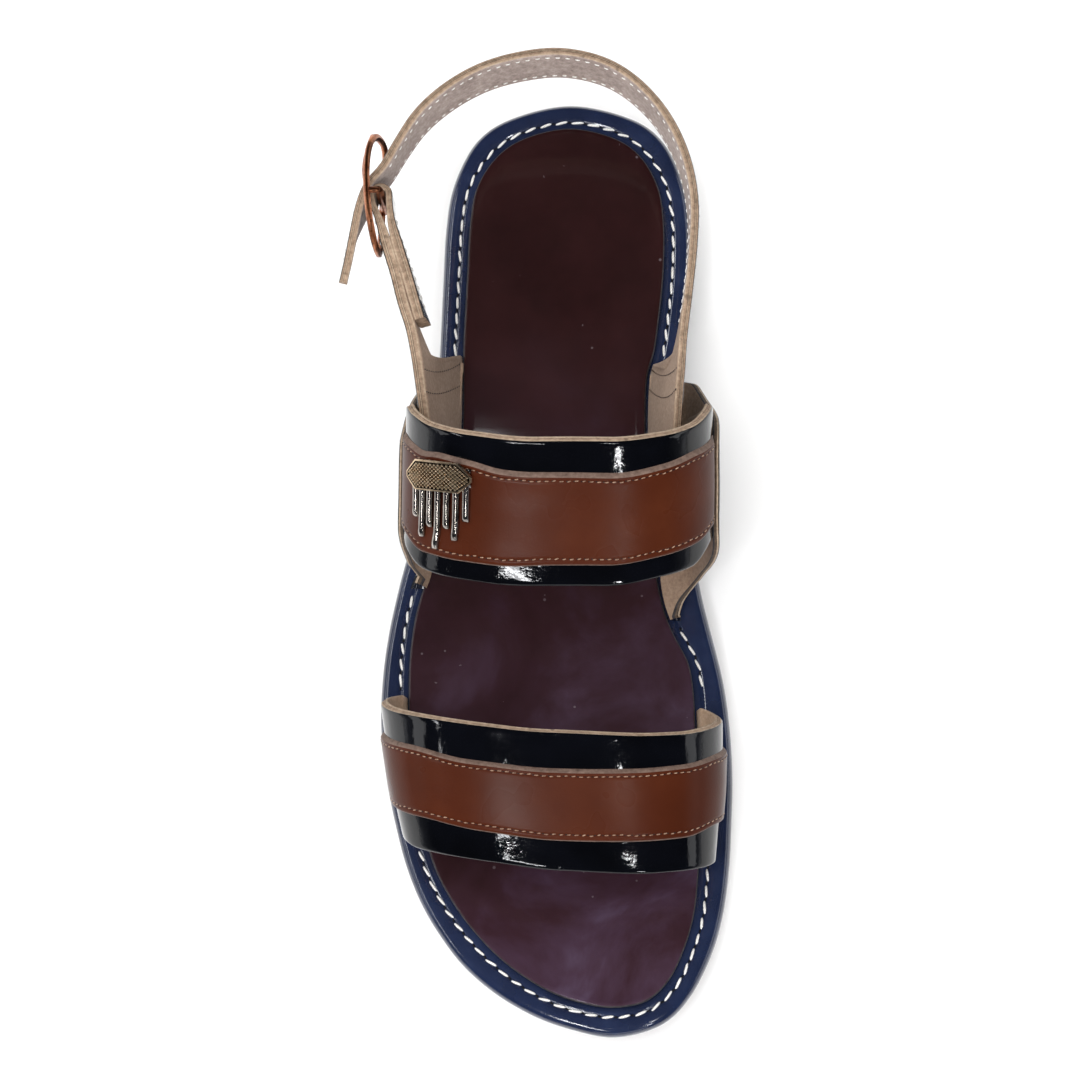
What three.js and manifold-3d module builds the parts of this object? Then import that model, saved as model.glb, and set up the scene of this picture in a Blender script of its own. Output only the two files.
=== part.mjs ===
// Two-band strap sandal for the right foot, with a buckled heel strap.
// Millimetres. +X is the medial (big-toe) side, +Y the heel, +Z up.
// The sole stands on Z = 0 with its heel block and its forefoot.
import * as THREE from 'three';
import * as BufferGeometryUtils from 'three/addons/utils/BufferGeometryUtils.js';
import Module from 'manifold-3d';

const wasm = await Module();
wasm.setup();

// ---------------------------------------------------------------- sizes
const GAP = 0.3;            // glue line between neighbouring pieces
const OUTSOLE = 4.5;        // outsole thickness
const MIDSOLE = 5.5;        // painted midsole and rim
const INSOLE = 2.6;         // footbed board and cover
const HEEL_H = 12.0;        // heel block, incl. its top piece
const BAND = 2.4;           // patent strap with its lining
const WING = 2.1;           // side wing, outside the instep band
const OVERLAY = 1.2;        // brown strip on each band
const STRAP = 2.6;          // heel strap
const FOLD = 2.0;           // skived strap where it folds round the bar
const STRAP_W = 16.0;       // heel strap width
const ORIGIN = { x: -3.6, y: -0.35, z: 0 };   // box centre, taken to the origin

// ---------------------------------------------------------------- tables
// Outer edge of the sole in plan. y station, x on each side.
const SOLE = [
  { y: 139.6, lat: -17.2, med: 25.0 }, { y: 133.8, lat: -24.9, med: 32.3 },
  { y: 126.3, lat: -29.5, med: 36.8 }, { y: 116.0, lat: -33.1, med: 40.2 },
  { y: 104.0, lat: -34.6, med: 41.7 }, { y: 85.0, lat: -35.3, med: 41.4 },
  { y: 66.0, lat: -35.9, med: 40.2 }, { y: 47.0, lat: -36.8, med: 39.6 },
  { y: 28.0, lat: -39.2, med: 40.3 }, { y: 8.0, lat: -44.4, med: 42.4 },
  { y: -8.0, lat: -48.6, med: 45.0 }, { y: -23.0, lat: -51.5, med: 48.7 },
  { y: -36.0, lat: -52.9, med: 51.9 }, { y: -50.0, lat: -53.1, med: 53.9 },
  { y: -66.0, lat: -51.2, med: 54.8 }, { y: -80.0, lat: -48.2, med: 54.5 },
  { y: -93.0, lat: -44.6, med: 53.9 }, { y: -105.0, lat: -39.6, med: 52.5 },
  { y: -115.0, lat: -33.5, med: 50.3 }, { y: -124.0, lat: -26.4, med: 47.0 },
  { y: -132.5, lat: -16.4, med: 42.6 }, { y: -139.4, lat: -4.4, med: 36.9 },
  { y: -143.3, lat: 6.6, med: 30.2 },
];
const SOLE_HEEL = { x: 3.8, y: 144.9 }, SOLE_TOE = { x: 18.8, y: -145.6 };

// Edge of the footbed in plan; it steps in where the side wings go down.
const BED = [
  { y: 131.8, lat: -12.2, med: 19.8 }, { y: 125.8, lat: -19.6, med: 26.8 },
  { y: 116.4, lat: -24.9, med: 31.7 }, { y: 105.5, lat: -26.7, med: 33.4 },
  { y: 89.4, lat: -27.4, med: 33.4 }, { y: 76.0, lat: -27.9, med: 32.2 },
  { y: 64.0, lat: -28.3, med: 30.6 }, { y: 57.0, lat: -28.2, med: 28.6 },
  { y: 40.0, lat: -28.4, med: 28.0 }, { y: 22.0, lat: -30.6, med: 28.4 },
  { y: 6.0, lat: -35.2, med: 29.8 }, { y: -7.0, lat: -40.0, med: 32.0 },
  { y: -16.0, lat: -42.5, med: 34.2 }, { y: -23.5, lat: -43.6, med: 37.4 },
  { y: -31.0, lat: -44.2, med: 41.3 }, { y: -40.0, lat: -44.3, med: 42.9 },
  { y: -52.0, lat: -43.8, med: 43.6 }, { y: -70.0, lat: -41.9, med: 44.7 },
  { y: -90.2, lat: -37.0, med: 44.8 }, { y: -98.0, lat: -33.8, med: 44.4 },
  { y: -107.2, lat: -28.3, med: 43.5 }, { y: -114.3, lat: -22.8, med: 41.9 },
  { y: -121.5, lat: -15.8, med: 39.4 }, { y: -127.4, lat: -8.2, med: 36.6 },
  { y: -132.2, lat: 0.0, med: 32.8 }, { y: -135.4, lat: 8.8, med: 28.2 },
];
const BED_HEEL = { x: 3.8, y: 135.9 }, BED_TOE = { x: 18.6, y: -137.0 };

// Underside of the outsole: heel seat, arch, forefoot tread, toe spring.
const UNDER = [
  { y: 146, z: HEEL_H }, { y: 74, z: HEEL_H }, { y: 58, z: 10.9 }, { y: 40, z: 8.0 },
  { y: 22, z: 4.4 }, { y: 4, z: 1.3 }, { y: -12, z: 0 }, { y: -84, z: 0 },
  { y: -104, z: 1.2 }, { y: -126, z: 4.4 }, { y: -147, z: 8.6 },
];

// Cross-sections of the last, row per station y. x of the widest point and
// of the foot of the wall on each side; heights above the footbed.
const LAST = [
  { y: 66, latBelly: -39.4, medBelly: 46.6, latBase: -29.0, medBase: 31.2, belly: 46, top: 86 },
  { y: 45, latBelly: -39.4, medBelly: 46.8, latBase: -29.6, medBase: 29.6, belly: 45, top: 80.5 },
  { y: 30, latBelly: -39.6, medBelly: 46.8, latBase: -30.8, medBase: 29.6, belly: 44, top: 76.5 },
  { y: 15, latBelly: -40.0, medBelly: 47.0, latBase: -33.4, medBase: 30.2, belly: 42, top: 71.5 },
  { y: 0, latBelly: -40.6, medBelly: 46.8, latBase: -37.4, medBase: 31.8, belly: 39, top: 66.5 },
  { y: -12, latBelly: -43.0, medBelly: 46.6, latBase: -41.8, medBase: 34.6, belly: 35, top: 62 },
  { y: -25, latBelly: -46.6, medBelly: 47.2, latBase: -44.4, medBase: 39.6, belly: 29, top: 56.5 },
  { y: -42, latBelly: -49.0, medBelly: 48.9, latBase: -44.7, medBase: 43.5, belly: 19, top: 46.5 },
  { y: -55, latBelly: -47.6, medBelly: 49.6, latBase: -43.9, medBase: 44.2, belly: 16, top: 42.4 },
  { y: -70, latBelly: -45.2, medBelly: 49.4, latBase: -42.3, medBase: 45.1, belly: 15, top: 39.0 },
  { y: -85, latBelly: -41.9, medBelly: 48.2, latBase: -39.0, medBase: 45.3, belly: 14, top: 35.4 },
  { y: -103, latBelly: -36.4, medBelly: 46.9, latBase: -31.2, medBase: 44.3, belly: 13, top: 29.6 },
];
const CROWN = 2.25;         // roundness of the arch, 2 is an ellipse

// Edges of the bands: a is the angle round the last in degrees, 0 at the
// lateral widest point, 90 on top, 180 at the medial widest point.
const FRONT_EDGE = [
  { a: -75, rear: -32.5, front: -83.0 }, { a: 0, rear: -46.0, front: -87.2 },
  { a: 22, rear: -50.2, front: -91.2 }, { a: 45, rear: -53.7, front: -94.4 },
  { a: 68, rear: -56.8, front: -97.0 }, { a: 90, rear: -59.0, front: -99.3 },
  { a: 115, rear: -59.6, front: -100.0 }, { a: 138, rear: -58.4, front: -98.9 },
  { a: 160, rear: -55.3, front: -96.9 }, { a: 180, rear: -51.4, front: -94.4 },
  { a: 255, rear: -33.5, front: -89.0 },
];
const INSTEP_EDGE = [
  { a: -75, rear: 39.0, front: 4.0 }, { a: -20, rear: 38.0, front: 2.5 },
  { a: 4, rear: 36.4, front: -1.0 }, { a: 20, rear: 32.2, front: -6.6 },
  { a: 38, rear: 27.1, front: -12.9 }, { a: 60, rear: 23.3, front: -16.8 },
  { a: 85, rear: 21.0, front: -19.1 }, { a: 108, rear: 21.2, front: -18.9 },
  { a: 132, rear: 23.8, front: -15.4 }, { a: 152, rear: 28.0, front: -11.0 },
  { a: 168, rear: 33.4, front: -4.0 }, { a: 180, rear: 37.0, front: -0.6 },
  { a: 205, rear: 39.0, front: 2.5 }, { a: 255, rear: 40.0, front: 6.0 },
];
// Brown strips: part of the band's length they cover, rear = 0, front = 1.
const FRONT_STRIP = [
  { a: -30, from: 0.215, to: 0.735 }, { a: 36, from: 0.228, to: 0.742 }, { a: 62, from: 0.268, to: 0.772 },
  { a: 90, from: 0.268, to: 0.777 }, { a: 116, from: 0.248, to: 0.762 }, { a: 143, from: 0.226, to: 0.75 },
  { a: 165, from: 0.202, to: 0.70 }, { a: 210, from: 0.2, to: 0.69 },
];
const INSTEP_STRIP = [
  { a: -4, from: 0.2, to: 0.86 }, { a: 19, from: 0.2, to: 0.875 }, { a: 30, from: 0.2, to: 0.885 },
  { a: 45, from: 0.168, to: 0.87 }, { a: 58, from: 0.178, to: 0.868 }, { a: 73, from: 0.212, to: 0.865 },
  { a: 91, from: 0.218, to: 0.848 }, { a: 110, from: 0.222, to: 0.847 }, { a: 130, from: 0.205, to: 0.842 },
  { a: 150, from: 0.177, to: 0.83 }, { a: 170, from: 0.215, to: 0.85 }, { a: 184, from: 0.215, to: 0.85 },
];

// Top edge of the side wings. y station, height as the last's angle.
const WING_LAT = [
  { y: 60.5, a: -58 }, { y: 58.6, a: -44 }, { y: 56.6, a: -34 }, { y: 50.6, a: -26 }, { y: 41.3, a: -14 },
  { y: 31.7, a: -5 }, { y: 25, a: 1.5 }, { y: 18, a: 5 }, { y: 8, a: 5 }, { y: 2, a: 1 }, { y: -0.8, a: -3 },
  { y: -2.8, a: -9 }, { y: -4.4, a: -13.5 }, { y: -6.2, a: -17 }, { y: -7.6, a: -19 },
];
const WING_MED = [
  { y: 56.4, a: -54 }, { y: 54.2, a: -46 }, { y: 52.2, a: -38 }, { y: 50.2, a: -32 }, { y: 47.2, a: -28 },
  { y: 42.9, a: -22 }, { y: 38, a: -13 }, { y: 33, a: -4 }, { y: 27, a: 2.5 }, { y: 19, a: 6 },
  { y: 7, a: 6 }, { y: 1, a: 4 }, { y: -2.6, a: -2 }, { y: -5, a: -14 }, { y: -6.8, a: -25 },
  { y: -9.6, a: -32 }, { y: -13.6, a: -37 }, { y: -17.5, a: -38.5 },
];

// Heel strap with its quarter, from the medial side round the heel, through
// the buckle, to the loose tip. Top edge, then how far the lower edge lies
// from it in plan (dx, dy); base: the lower edge is at the footbed.
const HEEL_STRAP = [
  { x: 35.0, y: 0, z: 37, base: 1, by: 0 }, { x: 36.8, y: 14, z: 50, base: 1, by: 16 },
  { x: 38.4, y: 28, z: 60, base: 1, by: 32 }, { x: 39.4, y: 42, z: 67.5, base: 1, by: 49 },
  { x: 39.9, y: 47, z: 69.9, base: 1, by: 57 }, { x: 40.05, y: 49.5, z: 71.0, base: 1, by: 60 },
  { x: 40.2, y: 51.5, z: 71.8, dx: -8.2, dy: 5.7, w: 40 },
  { x: 40.35, y: 53.5, z: 72.5, dx: -6.0, dy: 0.1, w: 29.1 },
  { x: 40.5, y: 55.8, z: 73.2, dx: -3.8, dy: -3.9, w: 21.8 },
  { x: 40.9, y: 59.5, z: 74.4, dx: -2.0, dy: -1.8, w: 17.0 },
  { x: 42.2, y: 70.0, z: 77.2, dx: -1.0, dy: 0, w: STRAP_W },
  { x: 43.5, y: 83.0, z: 79.8, dx: -0.9, dy: 0, w: STRAP_W },
  { x: 43.8, y: 95.0, z: 81.6, dx: -1.2, dy: -0.2, w: STRAP_W },
  { x: 42.0, y: 106.0, z: 83.0, dx: -1.2, dy: -0.5, w: STRAP_W },
  { x: 38.0, y: 116.5, z: 84.2, dx: -1.1, dy: -0.9, w: STRAP_W },
  { x: 32.2, y: 125.4, z: 85.2, dx: -1.0, dy: -1.2, w: STRAP_W },
  { x: 24.4, y: 132.9, z: 86.0, dx: -0.8, dy: -1.5, w: STRAP_W },
  { x: 16.0, y: 137.6, z: 86.4, dx: -0.5, dy: -1.8, w: STRAP_W },
  { x: 4.0, y: 140.2, z: 86.5, dx: 0, dy: -2.0, w: STRAP_W },
  { x: -8.4, y: 139.2, z: 86.2, dx: 0.4, dy: -2.0, w: STRAP_W },
  { x: -20.4, y: 135.8, z: 85.4, dx: 0.7, dy: -1.8, w: STRAP_W },
  { x: -31.0, y: 129.8, z: 84.2, dx: 0.9, dy: -1.4, w: STRAP_W },
  { x: -38.8, y: 122.6, z: 83.2, dx: 0.8, dy: -0.9, w: STRAP_W },
  { x: -44.2, y: 114.4, z: 82.4, dx: 0.5, dy: -0.5, w: STRAP_W },
  { x: -48.6, y: 106.6, z: 81.9, dx: 0.3, dy: -0.2, w: STRAP_W },
  { x: -53.4, y: 100.6, z: 81.6, dx: 0.6, dy: 0, w: STRAP_W },
  { x: -55.6, y: 94.6, z: 81.2, dx: -0.6, dy: 0, w: STRAP_W },
  { x: -57.2, y: 87.0, z: 79.8, dx: -2.2, dy: 0.4, w: STRAP_W - 0.6 },
  { x: -58.8, y: 79.4, z: 77.6, dx: -2.0, dy: 1.2, w: STRAP_W - 2.4 },
  { x: -60.7, y: 72.4, z: 74.6, dx: -0.9, dy: 1.8, w: 8.0 },
];
// Buckle strap with its quarter: from the lateral side up to the buckle,
// round its centre bar and back on the foot side.
const BAR = { x: -49.6, y: 98.0 };
const BUCKLE_STRAP = [
  { x: -34.0, y: 0, z: 37, base: 1, by: 0 }, { x: -35.0, y: 14, z: 49, base: 1, by: 16 },
  { x: -36.2, y: 28, z: 58, base: 1, by: 32 }, { x: -37.8, y: 42, z: 64.5, base: 1, by: 50 },
  { x: -38.4, y: 46.5, z: 66.3, base: 1, by: 59 }, { x: -38.75, y: 49, z: 67.3, base: 1, by: 63 },
  { x: -39.1, y: 51.3, z: 68.2, dx: 7.1, dy: 8.2, w: 37 },
  { x: -39.5, y: 53.6, z: 69.0, dx: 5.4, dy: 2.0, w: 26.6 },
  { x: -39.9, y: 56, z: 69.8, dx: 3.9, dy: -2.6, w: 20.4 },
  { x: -40.7, y: 59.8, z: 71.1, dx: 2.0, dy: -1.6, w: 16.8 },
  { x: -43.0, y: 67.0, z: 73.4, dx: 0.8, dy: 0, w: 15 },
  { x: -45.2, y: 75.5, z: 76.0, dx: 0.5, dy: 0, w: 14 },
  { x: -47.4, y: 82.5, z: 78.2, dx: 0.3, dy: 0, w: 13.6 },
  { x: -49.9, y: 90.6, z: 80.0, dx: 0, dy: 0, w: 13.4 },
  { x: BAR.x - 2.62, y: 96.6, z: 80.3, dx: 0, dy: 0, w: 13.4 },
  { x: BAR.x - 2.3, y: 99.4, z: 80.3, dx: 0, dy: 0, w: 13.4 },
  { x: BAR.x, y: BAR.y + 2.65, z: 80.3, dx: 0, dy: 0, w: 13.4 },
  { x: BAR.x + 2.3, y: 99.4, z: 80.3, dx: 0, dy: 0, w: 13.4 },
  { x: BAR.x + 2.62, y: 96.6, z: 80.3, dx: 0, dy: 0, w: 13.4 },
  { x: -46.2, y: 90.0, z: 79.6, dx: 0.2, dy: 0, w: 13.4 },
  { x: -44.2, y: 82.6, z: 78.0, dx: 0.4, dy: 0, w: 13.4 },
  { x: -41.7, y: 74.8, z: 75.8, dx: 0.6, dy: 0, w: 13.4 },
  { x: -39.3, y: 66.6, z: 73.0, dx: 0.9, dy: 0, w: 13 },
  { x: -38.0, y: 62.2, z: 71.6, dx: 1.2, dy: 0, w: 10 },
];

// Buckle: oval frame round the bar.
const BUCKLE = { y: 99.6, z: 73.6, halfLong: 17.4, halfTall: 11.6, wire: 1.1, lean: 0.16, x: -51.9, bar: 1.2 };

// Ornament on the lateral side: a wide plate over a row of hanging bars,
// in mm across (u, toward the top of the foot) and along (v, to the toe).
const ORNAMENT = { a: 45, y: 13.4, plateHalf: 10.2, plateTall: 8.6, plateCut: 3.4, thick: 1.5 };
const BARS = [
  { u: -8.1, len: 12 }, { u: -5.4, len: 17.5 }, { u: -2.7, len: 14.5 }, { u: 0, len: 20.4 },
  { u: 2.7, len: 14.5 }, { u: 5.4, len: 17.5 }, { u: 8.1, len: 12 },
];

// ---------------------------------------------------------------- helpers
const rad = (d) => d * Math.PI / 180;
const lerp = (a, b, t) => a + (b - a) * t;
const clamp = (v, a, b) => Math.max(a, Math.min(b, v));

// Smooth curve through a table that never overshoots its rows.
function smooth(rows, key, col) {
  const s = [...rows].sort((p, q) => p[key] - q[key]);
  const n = s.length, d = [], m = [];
  for (let i = 0; i < n - 1; i++) d.push((s[i + 1][col] - s[i][col]) / (s[i + 1][key] - s[i][key]));
  for (let i = 0; i < n; i++) {
    if (i === 0) m.push(d[0]);
    else if (i === n - 1) m.push(d[n - 2]);
    else if (d[i - 1] * d[i] <= 0) m.push(0);
    else m.push(2 * d[i - 1] * d[i] / (d[i - 1] + d[i]));
  }
  return (v) => {
    const x = clamp(v, s[0][key], s[n - 1][key]);
    let i = 0;
    while (i < n - 2 && x > s[i + 1][key]) i++;
    const h = s[i + 1][key] - s[i][key], t = (x - s[i][key]) / h, t2 = t * t, t3 = t2 * t;
    return (2 * t3 - 3 * t2 + 1) * s[i][col] + (t3 - 2 * t2 + t) * h * m[i]
      + (3 * t2 - 2 * t3) * s[i + 1][col] + (t3 - t2) * h * m[i + 1];
  };
}
const underZ = smooth(UNDER, 'y', 'z');
const rimZ = (y) => underZ(y) + OUTSOLE + GAP + MIDSOLE;      // top of the rim
const bedZ = (y) => rimZ(y) + GAP + INSOLE;                   // where the foot stands

// A closed plan outline from its table, moved inward by inset and cut at
// stations: one left and one right x for each y, so flat tops are ladders.
function outline(rows, heel, toe, inset, stations) {
  const pts = [new THREE.Vector3(heel.x, heel.y, 0),
    ...rows.map((r) => new THREE.Vector3(r.lat, r.y, 0)),
    new THREE.Vector3(toe.x, toe.y, 0),
    ...[...rows].reverse().map((r) => new THREE.Vector3(r.med, r.y, 0))];
  const curve = new THREE.CatmullRomCurve3(pts, true, 'centripetal');
  const N = 720, p = curve.getPoints(N).slice(0, N);
  const q = p.map((c, i) => {
    const a = p[(i + N - 1) % N], b = p[(i + 1) % N];
    const tx = b.x - a.x, ty = b.y - a.y, l = Math.hypot(tx, ty);
    return { x: c.x - ty / l * inset, y: c.y + tx / l * inset };   // runs lateral side first
  });
  let top = 0, bot = 0;
  q.forEach((c, i) => { if (c.y > q[top].y) top = i; if (c.y < q[bot].y) bot = i; });
  const chain = (step) => {
    const out = [];
    for (let i = top; ; i = (i + step + N) % N) {
      if (!out.length || q[i].y < out[out.length - 1].y) out.push(q[i]);
      if (i === bot) break;
    }
    return out;
  };
  const at = (ch, y) => {
    for (let i = 0; i < ch.length - 1; i++) {
      if (y <= ch[i].y && y >= ch[i + 1].y) {
        return lerp(ch[i].x, ch[i + 1].x, (ch[i].y - y) / (ch[i].y - ch[i + 1].y));
      }
    }
    return y > ch[0].y ? ch[0].x : ch[ch.length - 1].x;
  };
  const A = chain(1), B = chain(-1);
  const latIsA = at(A, 0) < at(B, 0);
  const lat = latIsA ? A : B, med = latIsA ? B : A;
  const out = { top: q[top], bot: q[bot], lat: (y) => at(lat, y), med: (y) => at(med, y), rows: [] };
  for (let k = 0; k <= stations; k++) {
    const y = q[top].y + (q[bot].y - q[top].y) * (1 - Math.cos(Math.PI * k / stations)) / 2;
    out.rows.push({ y, l: at(lat, y), r: at(med, y) });
  }
  return out;
}

// Closed solid from plan outlines at rising levels. Each level: outline and
// z as a function of y. All outlines share the number of stations.
function stack(levels) {
  const n = levels[0].o.rows.length - 1, pos = [], idx = [];
  const ring = levels.map(({ o, z }) => {
    const ids = [];
    const put = (x, y) => { ids.push(pos.length / 3); pos.push(x, y, z(y)); };
    put(o.top.x, o.top.y);
    for (let k = 1; k < n; k++) put(o.rows[k].l, o.rows[k].y);
    put(o.bot.x, o.bot.y);
    for (let k = n - 1; k > 0; k--) put(o.rows[k].r, o.rows[k].y);
    return ids;
  });
  const m = ring[0].length;
  for (let j = 0; j < ring.length - 1; j++) {
    for (let i = 0; i < m; i++) {
      const a = ring[j][i], b = ring[j][(i + 1) % m], c = ring[j + 1][i], d = ring[j + 1][(i + 1) % m];
      idx.push(a, b, d, a, d, c);
    }
  }
  const cap = (R, up) => {
    const tri = (a, b, c) => (up ? idx.push(a, b, c) : idx.push(a, c, b));
    tri(R[0], R[1], R[m - 1]);
    for (let k = 1; k < n - 1; k++) {
      tri(R[k], R[k + 1], R[m - k - 1]);
      tri(R[k], R[m - k - 1], R[m - k]);
    }
    tri(R[n - 1], R[n], R[n + 1]);
  };
  cap(ring[0], false);
  cap(ring[ring.length - 1], true);
  return closed(pos, idx);
}

// A wall between two grids of points (same size), closed round its rim.
function wall(inner, outer) {
  const nu = inner.length, nv = inner[0].length, pos = [], idx = [];
  const put = (g) => g.map((row) => row.map((p) => { pos.push(p.x, p.y, p.z); return pos.length / 3 - 1; }));
  const I = put(inner), O = put(outer);
  const quad = (a, b, c, d) => idx.push(a, b, c, a, c, d);
  for (let i = 0; i < nu - 1; i++) {
    for (let j = 0; j < nv - 1; j++) {
      quad(O[i][j], O[i + 1][j], O[i + 1][j + 1], O[i][j + 1]);
      quad(I[i][j], I[i][j + 1], I[i + 1][j + 1], I[i + 1][j]);
    }
  }
  for (let i = 0; i < nu - 1; i++) {
    quad(O[i][0], I[i][0], I[i + 1][0], O[i + 1][0]);
    quad(O[i][nv - 1], O[i + 1][nv - 1], I[i + 1][nv - 1], I[i][nv - 1]);
  }
  for (let j = 0; j < nv - 1; j++) {
    quad(O[0][j], O[0][j + 1], I[0][j + 1], I[0][j]);
    quad(O[nu - 1][j], I[nu - 1][j], I[nu - 1][j + 1], O[nu - 1][j + 1]);
  }
  return closed(pos, idx);
}

// Geometry from points and triangles, turned so that its faces point out.
function closed(pos, idx) {
  let g = new THREE.BufferGeometry();
  g.setAttribute('position', new THREE.Float32BufferAttribute(pos, 3));
  g.setIndex(idx);
  g = BufferGeometryUtils.mergeVertices(g, 1e-4);
  const P = g.attributes.position, J = g.index.array;
  let vol = 0;
  const a = new THREE.Vector3(), b = new THREE.Vector3(), c = new THREE.Vector3();
  for (let i = 0; i < J.length; i += 3) {
    a.fromBufferAttribute(P, J[i]); b.fromBufferAttribute(P, J[i + 1]); c.fromBufferAttribute(P, J[i + 2]);
    vol += a.dot(b.cross(c));
  }
  if (vol < 0) for (let i = 0; i < J.length; i += 3) { const t = J[i]; J[i] = J[i + 1]; J[i + 1] = t; }
  return g;
}
function toSolid(geometry) {
  const g = geometry.clone();
  g.deleteAttribute('normal'); g.deleteAttribute('uv');
  const m = BufferGeometryUtils.mergeVertices(g, 1e-4);
  return new wasm.Manifold(new wasm.Mesh({
    numProp: 3, vertProperties: new Float32Array(m.attributes.position.array),
    triVerts: new Uint32Array(m.index.array),
  }));
}
// Back to a geometry; slivers shut in between two sewn layers are filled.
function fromSolid(solid) {
  const m = solid.getMesh(), g = new THREE.BufferGeometry();
  const P = m.numProp, n = m.vertProperties.length / P, pos = new Float32Array(n * 3);
  for (let i = 0; i < n; i++) for (let k = 0; k < 3; k++) pos[i * 3 + k] = m.vertProperties[i * P + k];
  g.setAttribute('position', new THREE.BufferAttribute(pos, 3));
  const root = Array.from({ length: n }, (_, i) => i), T = m.triVerts, volume = new Map();
  const find = (a) => { while (root[a] !== a) { root[a] = root[root[a]]; a = root[a]; } return a; };
  for (let i = 0; i < T.length; i += 3) { root[find(T[i + 1])] = find(T[i]); root[find(T[i + 2])] = find(T[i]); }
  const at = (i) => new THREE.Vector3(pos[i * 3], pos[i * 3 + 1], pos[i * 3 + 2]);
  for (let i = 0; i < T.length; i += 3) {
    const r = find(T[i]);
    volume.set(r, (volume.get(r) || 0) + at(T[i]).dot(at(T[i + 1]).cross(at(T[i + 2]))) / 6);
  }
  const keep = [];
  for (let i = 0; i < T.length; i += 3) if (Math.abs(volume.get(find(T[i]))) > 1) keep.push(T[i], T[i + 1], T[i + 2]);
  g.setIndex(keep);
  return weld(g);
}
// Edges shorter than a hundredth or so, left where two surfaces cut each
// other, are closed up, one at a time, as long as the skin stays whole.
function weld(geometry, shortest = 0.03) {
  const P = geometry.attributes.position, J = geometry.index.array;
  const p = Array.from({ length: P.count }, (_, i) => new THREE.Vector3().fromBufferAttribute(P, i));
  const tris = [], around = new Map();
  const link = (v, t) => { if (!around.has(v)) around.set(v, new Set()); around.get(v).add(t); };
  for (let i = 0; i < J.length; i += 3) {
    const t = [J[i], J[i + 1], J[i + 2]];
    tris.push(t); t.forEach((v) => link(v, tris.length - 1));
  }
  const ringOf = (v) => { const s = new Set(); around.get(v).forEach((t) => tris[t].forEach((w) => { if (w !== v) s.add(w); })); return s; };
  let again = true;
  while (again) {
    again = false;
    for (let t = 0; t < tris.length; t++) {
      if (!tris[t]) continue;
      for (let k = 0; k < 3 && tris[t]; k++) {
        const a = tris[t][k], b = tris[t][(k + 1) % 3];
        if (p[a].distanceTo(p[b]) > shortest) continue;
        const ra = ringOf(a), rb = ringOf(b), both = [...ra].filter((v) => rb.has(v));
        if (both.length !== 2) continue;
        const gone = [...around.get(b)].filter((q) => tris[q].includes(a));
        for (const q of gone) { tris[q].forEach((v) => around.get(v).delete(q)); tris[q] = null; }
        for (const q of [...around.get(b)]) { tris[q] = tris[q].map((v) => (v === b ? a : v)); link(a, q); }
        around.delete(b);
        again = true;
      }
    }
  }
  const pos = [], idx = [], name = new Map();
  for (const t of tris) if (t) for (const v of t) {
    if (!name.has(v)) { name.set(v, pos.length / 3); pos.push(p[v].x, p[v].y, p[v].z); }
    idx.push(name.get(v));
  }
  const g = new THREE.BufferGeometry();
  g.setAttribute('position', new THREE.Float32BufferAttribute(pos, 3));
  g.setIndex(idx);
  return g;
}

// ---------------------------------------------------------------- the last
const lastCol = {};
for (const c of ['latBelly', 'medBelly', 'latBase', 'medBase', 'belly', 'top']) lastCol[c] = smooth(LAST, 'y', c);
// Lowest angle of the section on each side, where its wall meets the footbed.
function footAngle(y, side) {
  const cx = (lastCol.latBelly(y) + lastCol.medBelly(y)) / 2;
  const belly = side < 0 ? cx - lastCol.latBelly(y) : lastCol.medBelly(y) - cx;
  const base = side < 0 ? cx - lastCol.latBase(y) : lastCol.medBase(y) - cx;
  return Math.acos(clamp(base / belly, 0.05, 0.995));
}
// Point of the last at station y and angle a (degrees, see the tables).
function lastPoint(y, a) {
  const cx = (lastCol.latBelly(y) + lastCol.medBelly(y)) / 2;
  const half = (lastCol.medBelly(y) - lastCol.latBelly(y)) / 2;
  const h = lastCol.belly(y), top = lastCol.top(y), z0 = bedZ(y), t = rad(a);
  if (a >= 0 && a <= 180) {
    const c = Math.cos(t), s = Math.sin(t), e = 2 / CROWN;
    return new THREE.Vector3(cx - half * Math.sign(c) * Math.abs(c) ** e, y, z0 + h + (top - h) * Math.abs(s) ** e);
  }
  const side = a < 0 ? -1 : 1, down = a < 0 ? -t : t - Math.PI, foot = footAngle(y, side);
  const d = Math.min(down, foot);
  return new THREE.Vector3(cx + side * half * Math.cos(d), y, z0 + h * (1 - Math.sin(d) / Math.sin(foot)));
}
// Outward normal of the last.
function lastNormal(y, a) {
  const da = 1.0, dy = 0.6;
  const lo = -footAngle(y, -1) * 180 / Math.PI, hi = 180 + footAngle(y, 1) * 180 / Math.PI;
  const a0 = clamp(a - da, lo, hi), a1 = clamp(a + da, lo, hi);
  const u = lastPoint(y, a1).sub(lastPoint(y, a0)), v = lastPoint(y + dy, a).sub(lastPoint(y - dy, a));
  return u.cross(v).normalize();
}
const onLast = (y, a, off) => lastPoint(y, a).addScaledVector(lastNormal(y, a), off);

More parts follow.
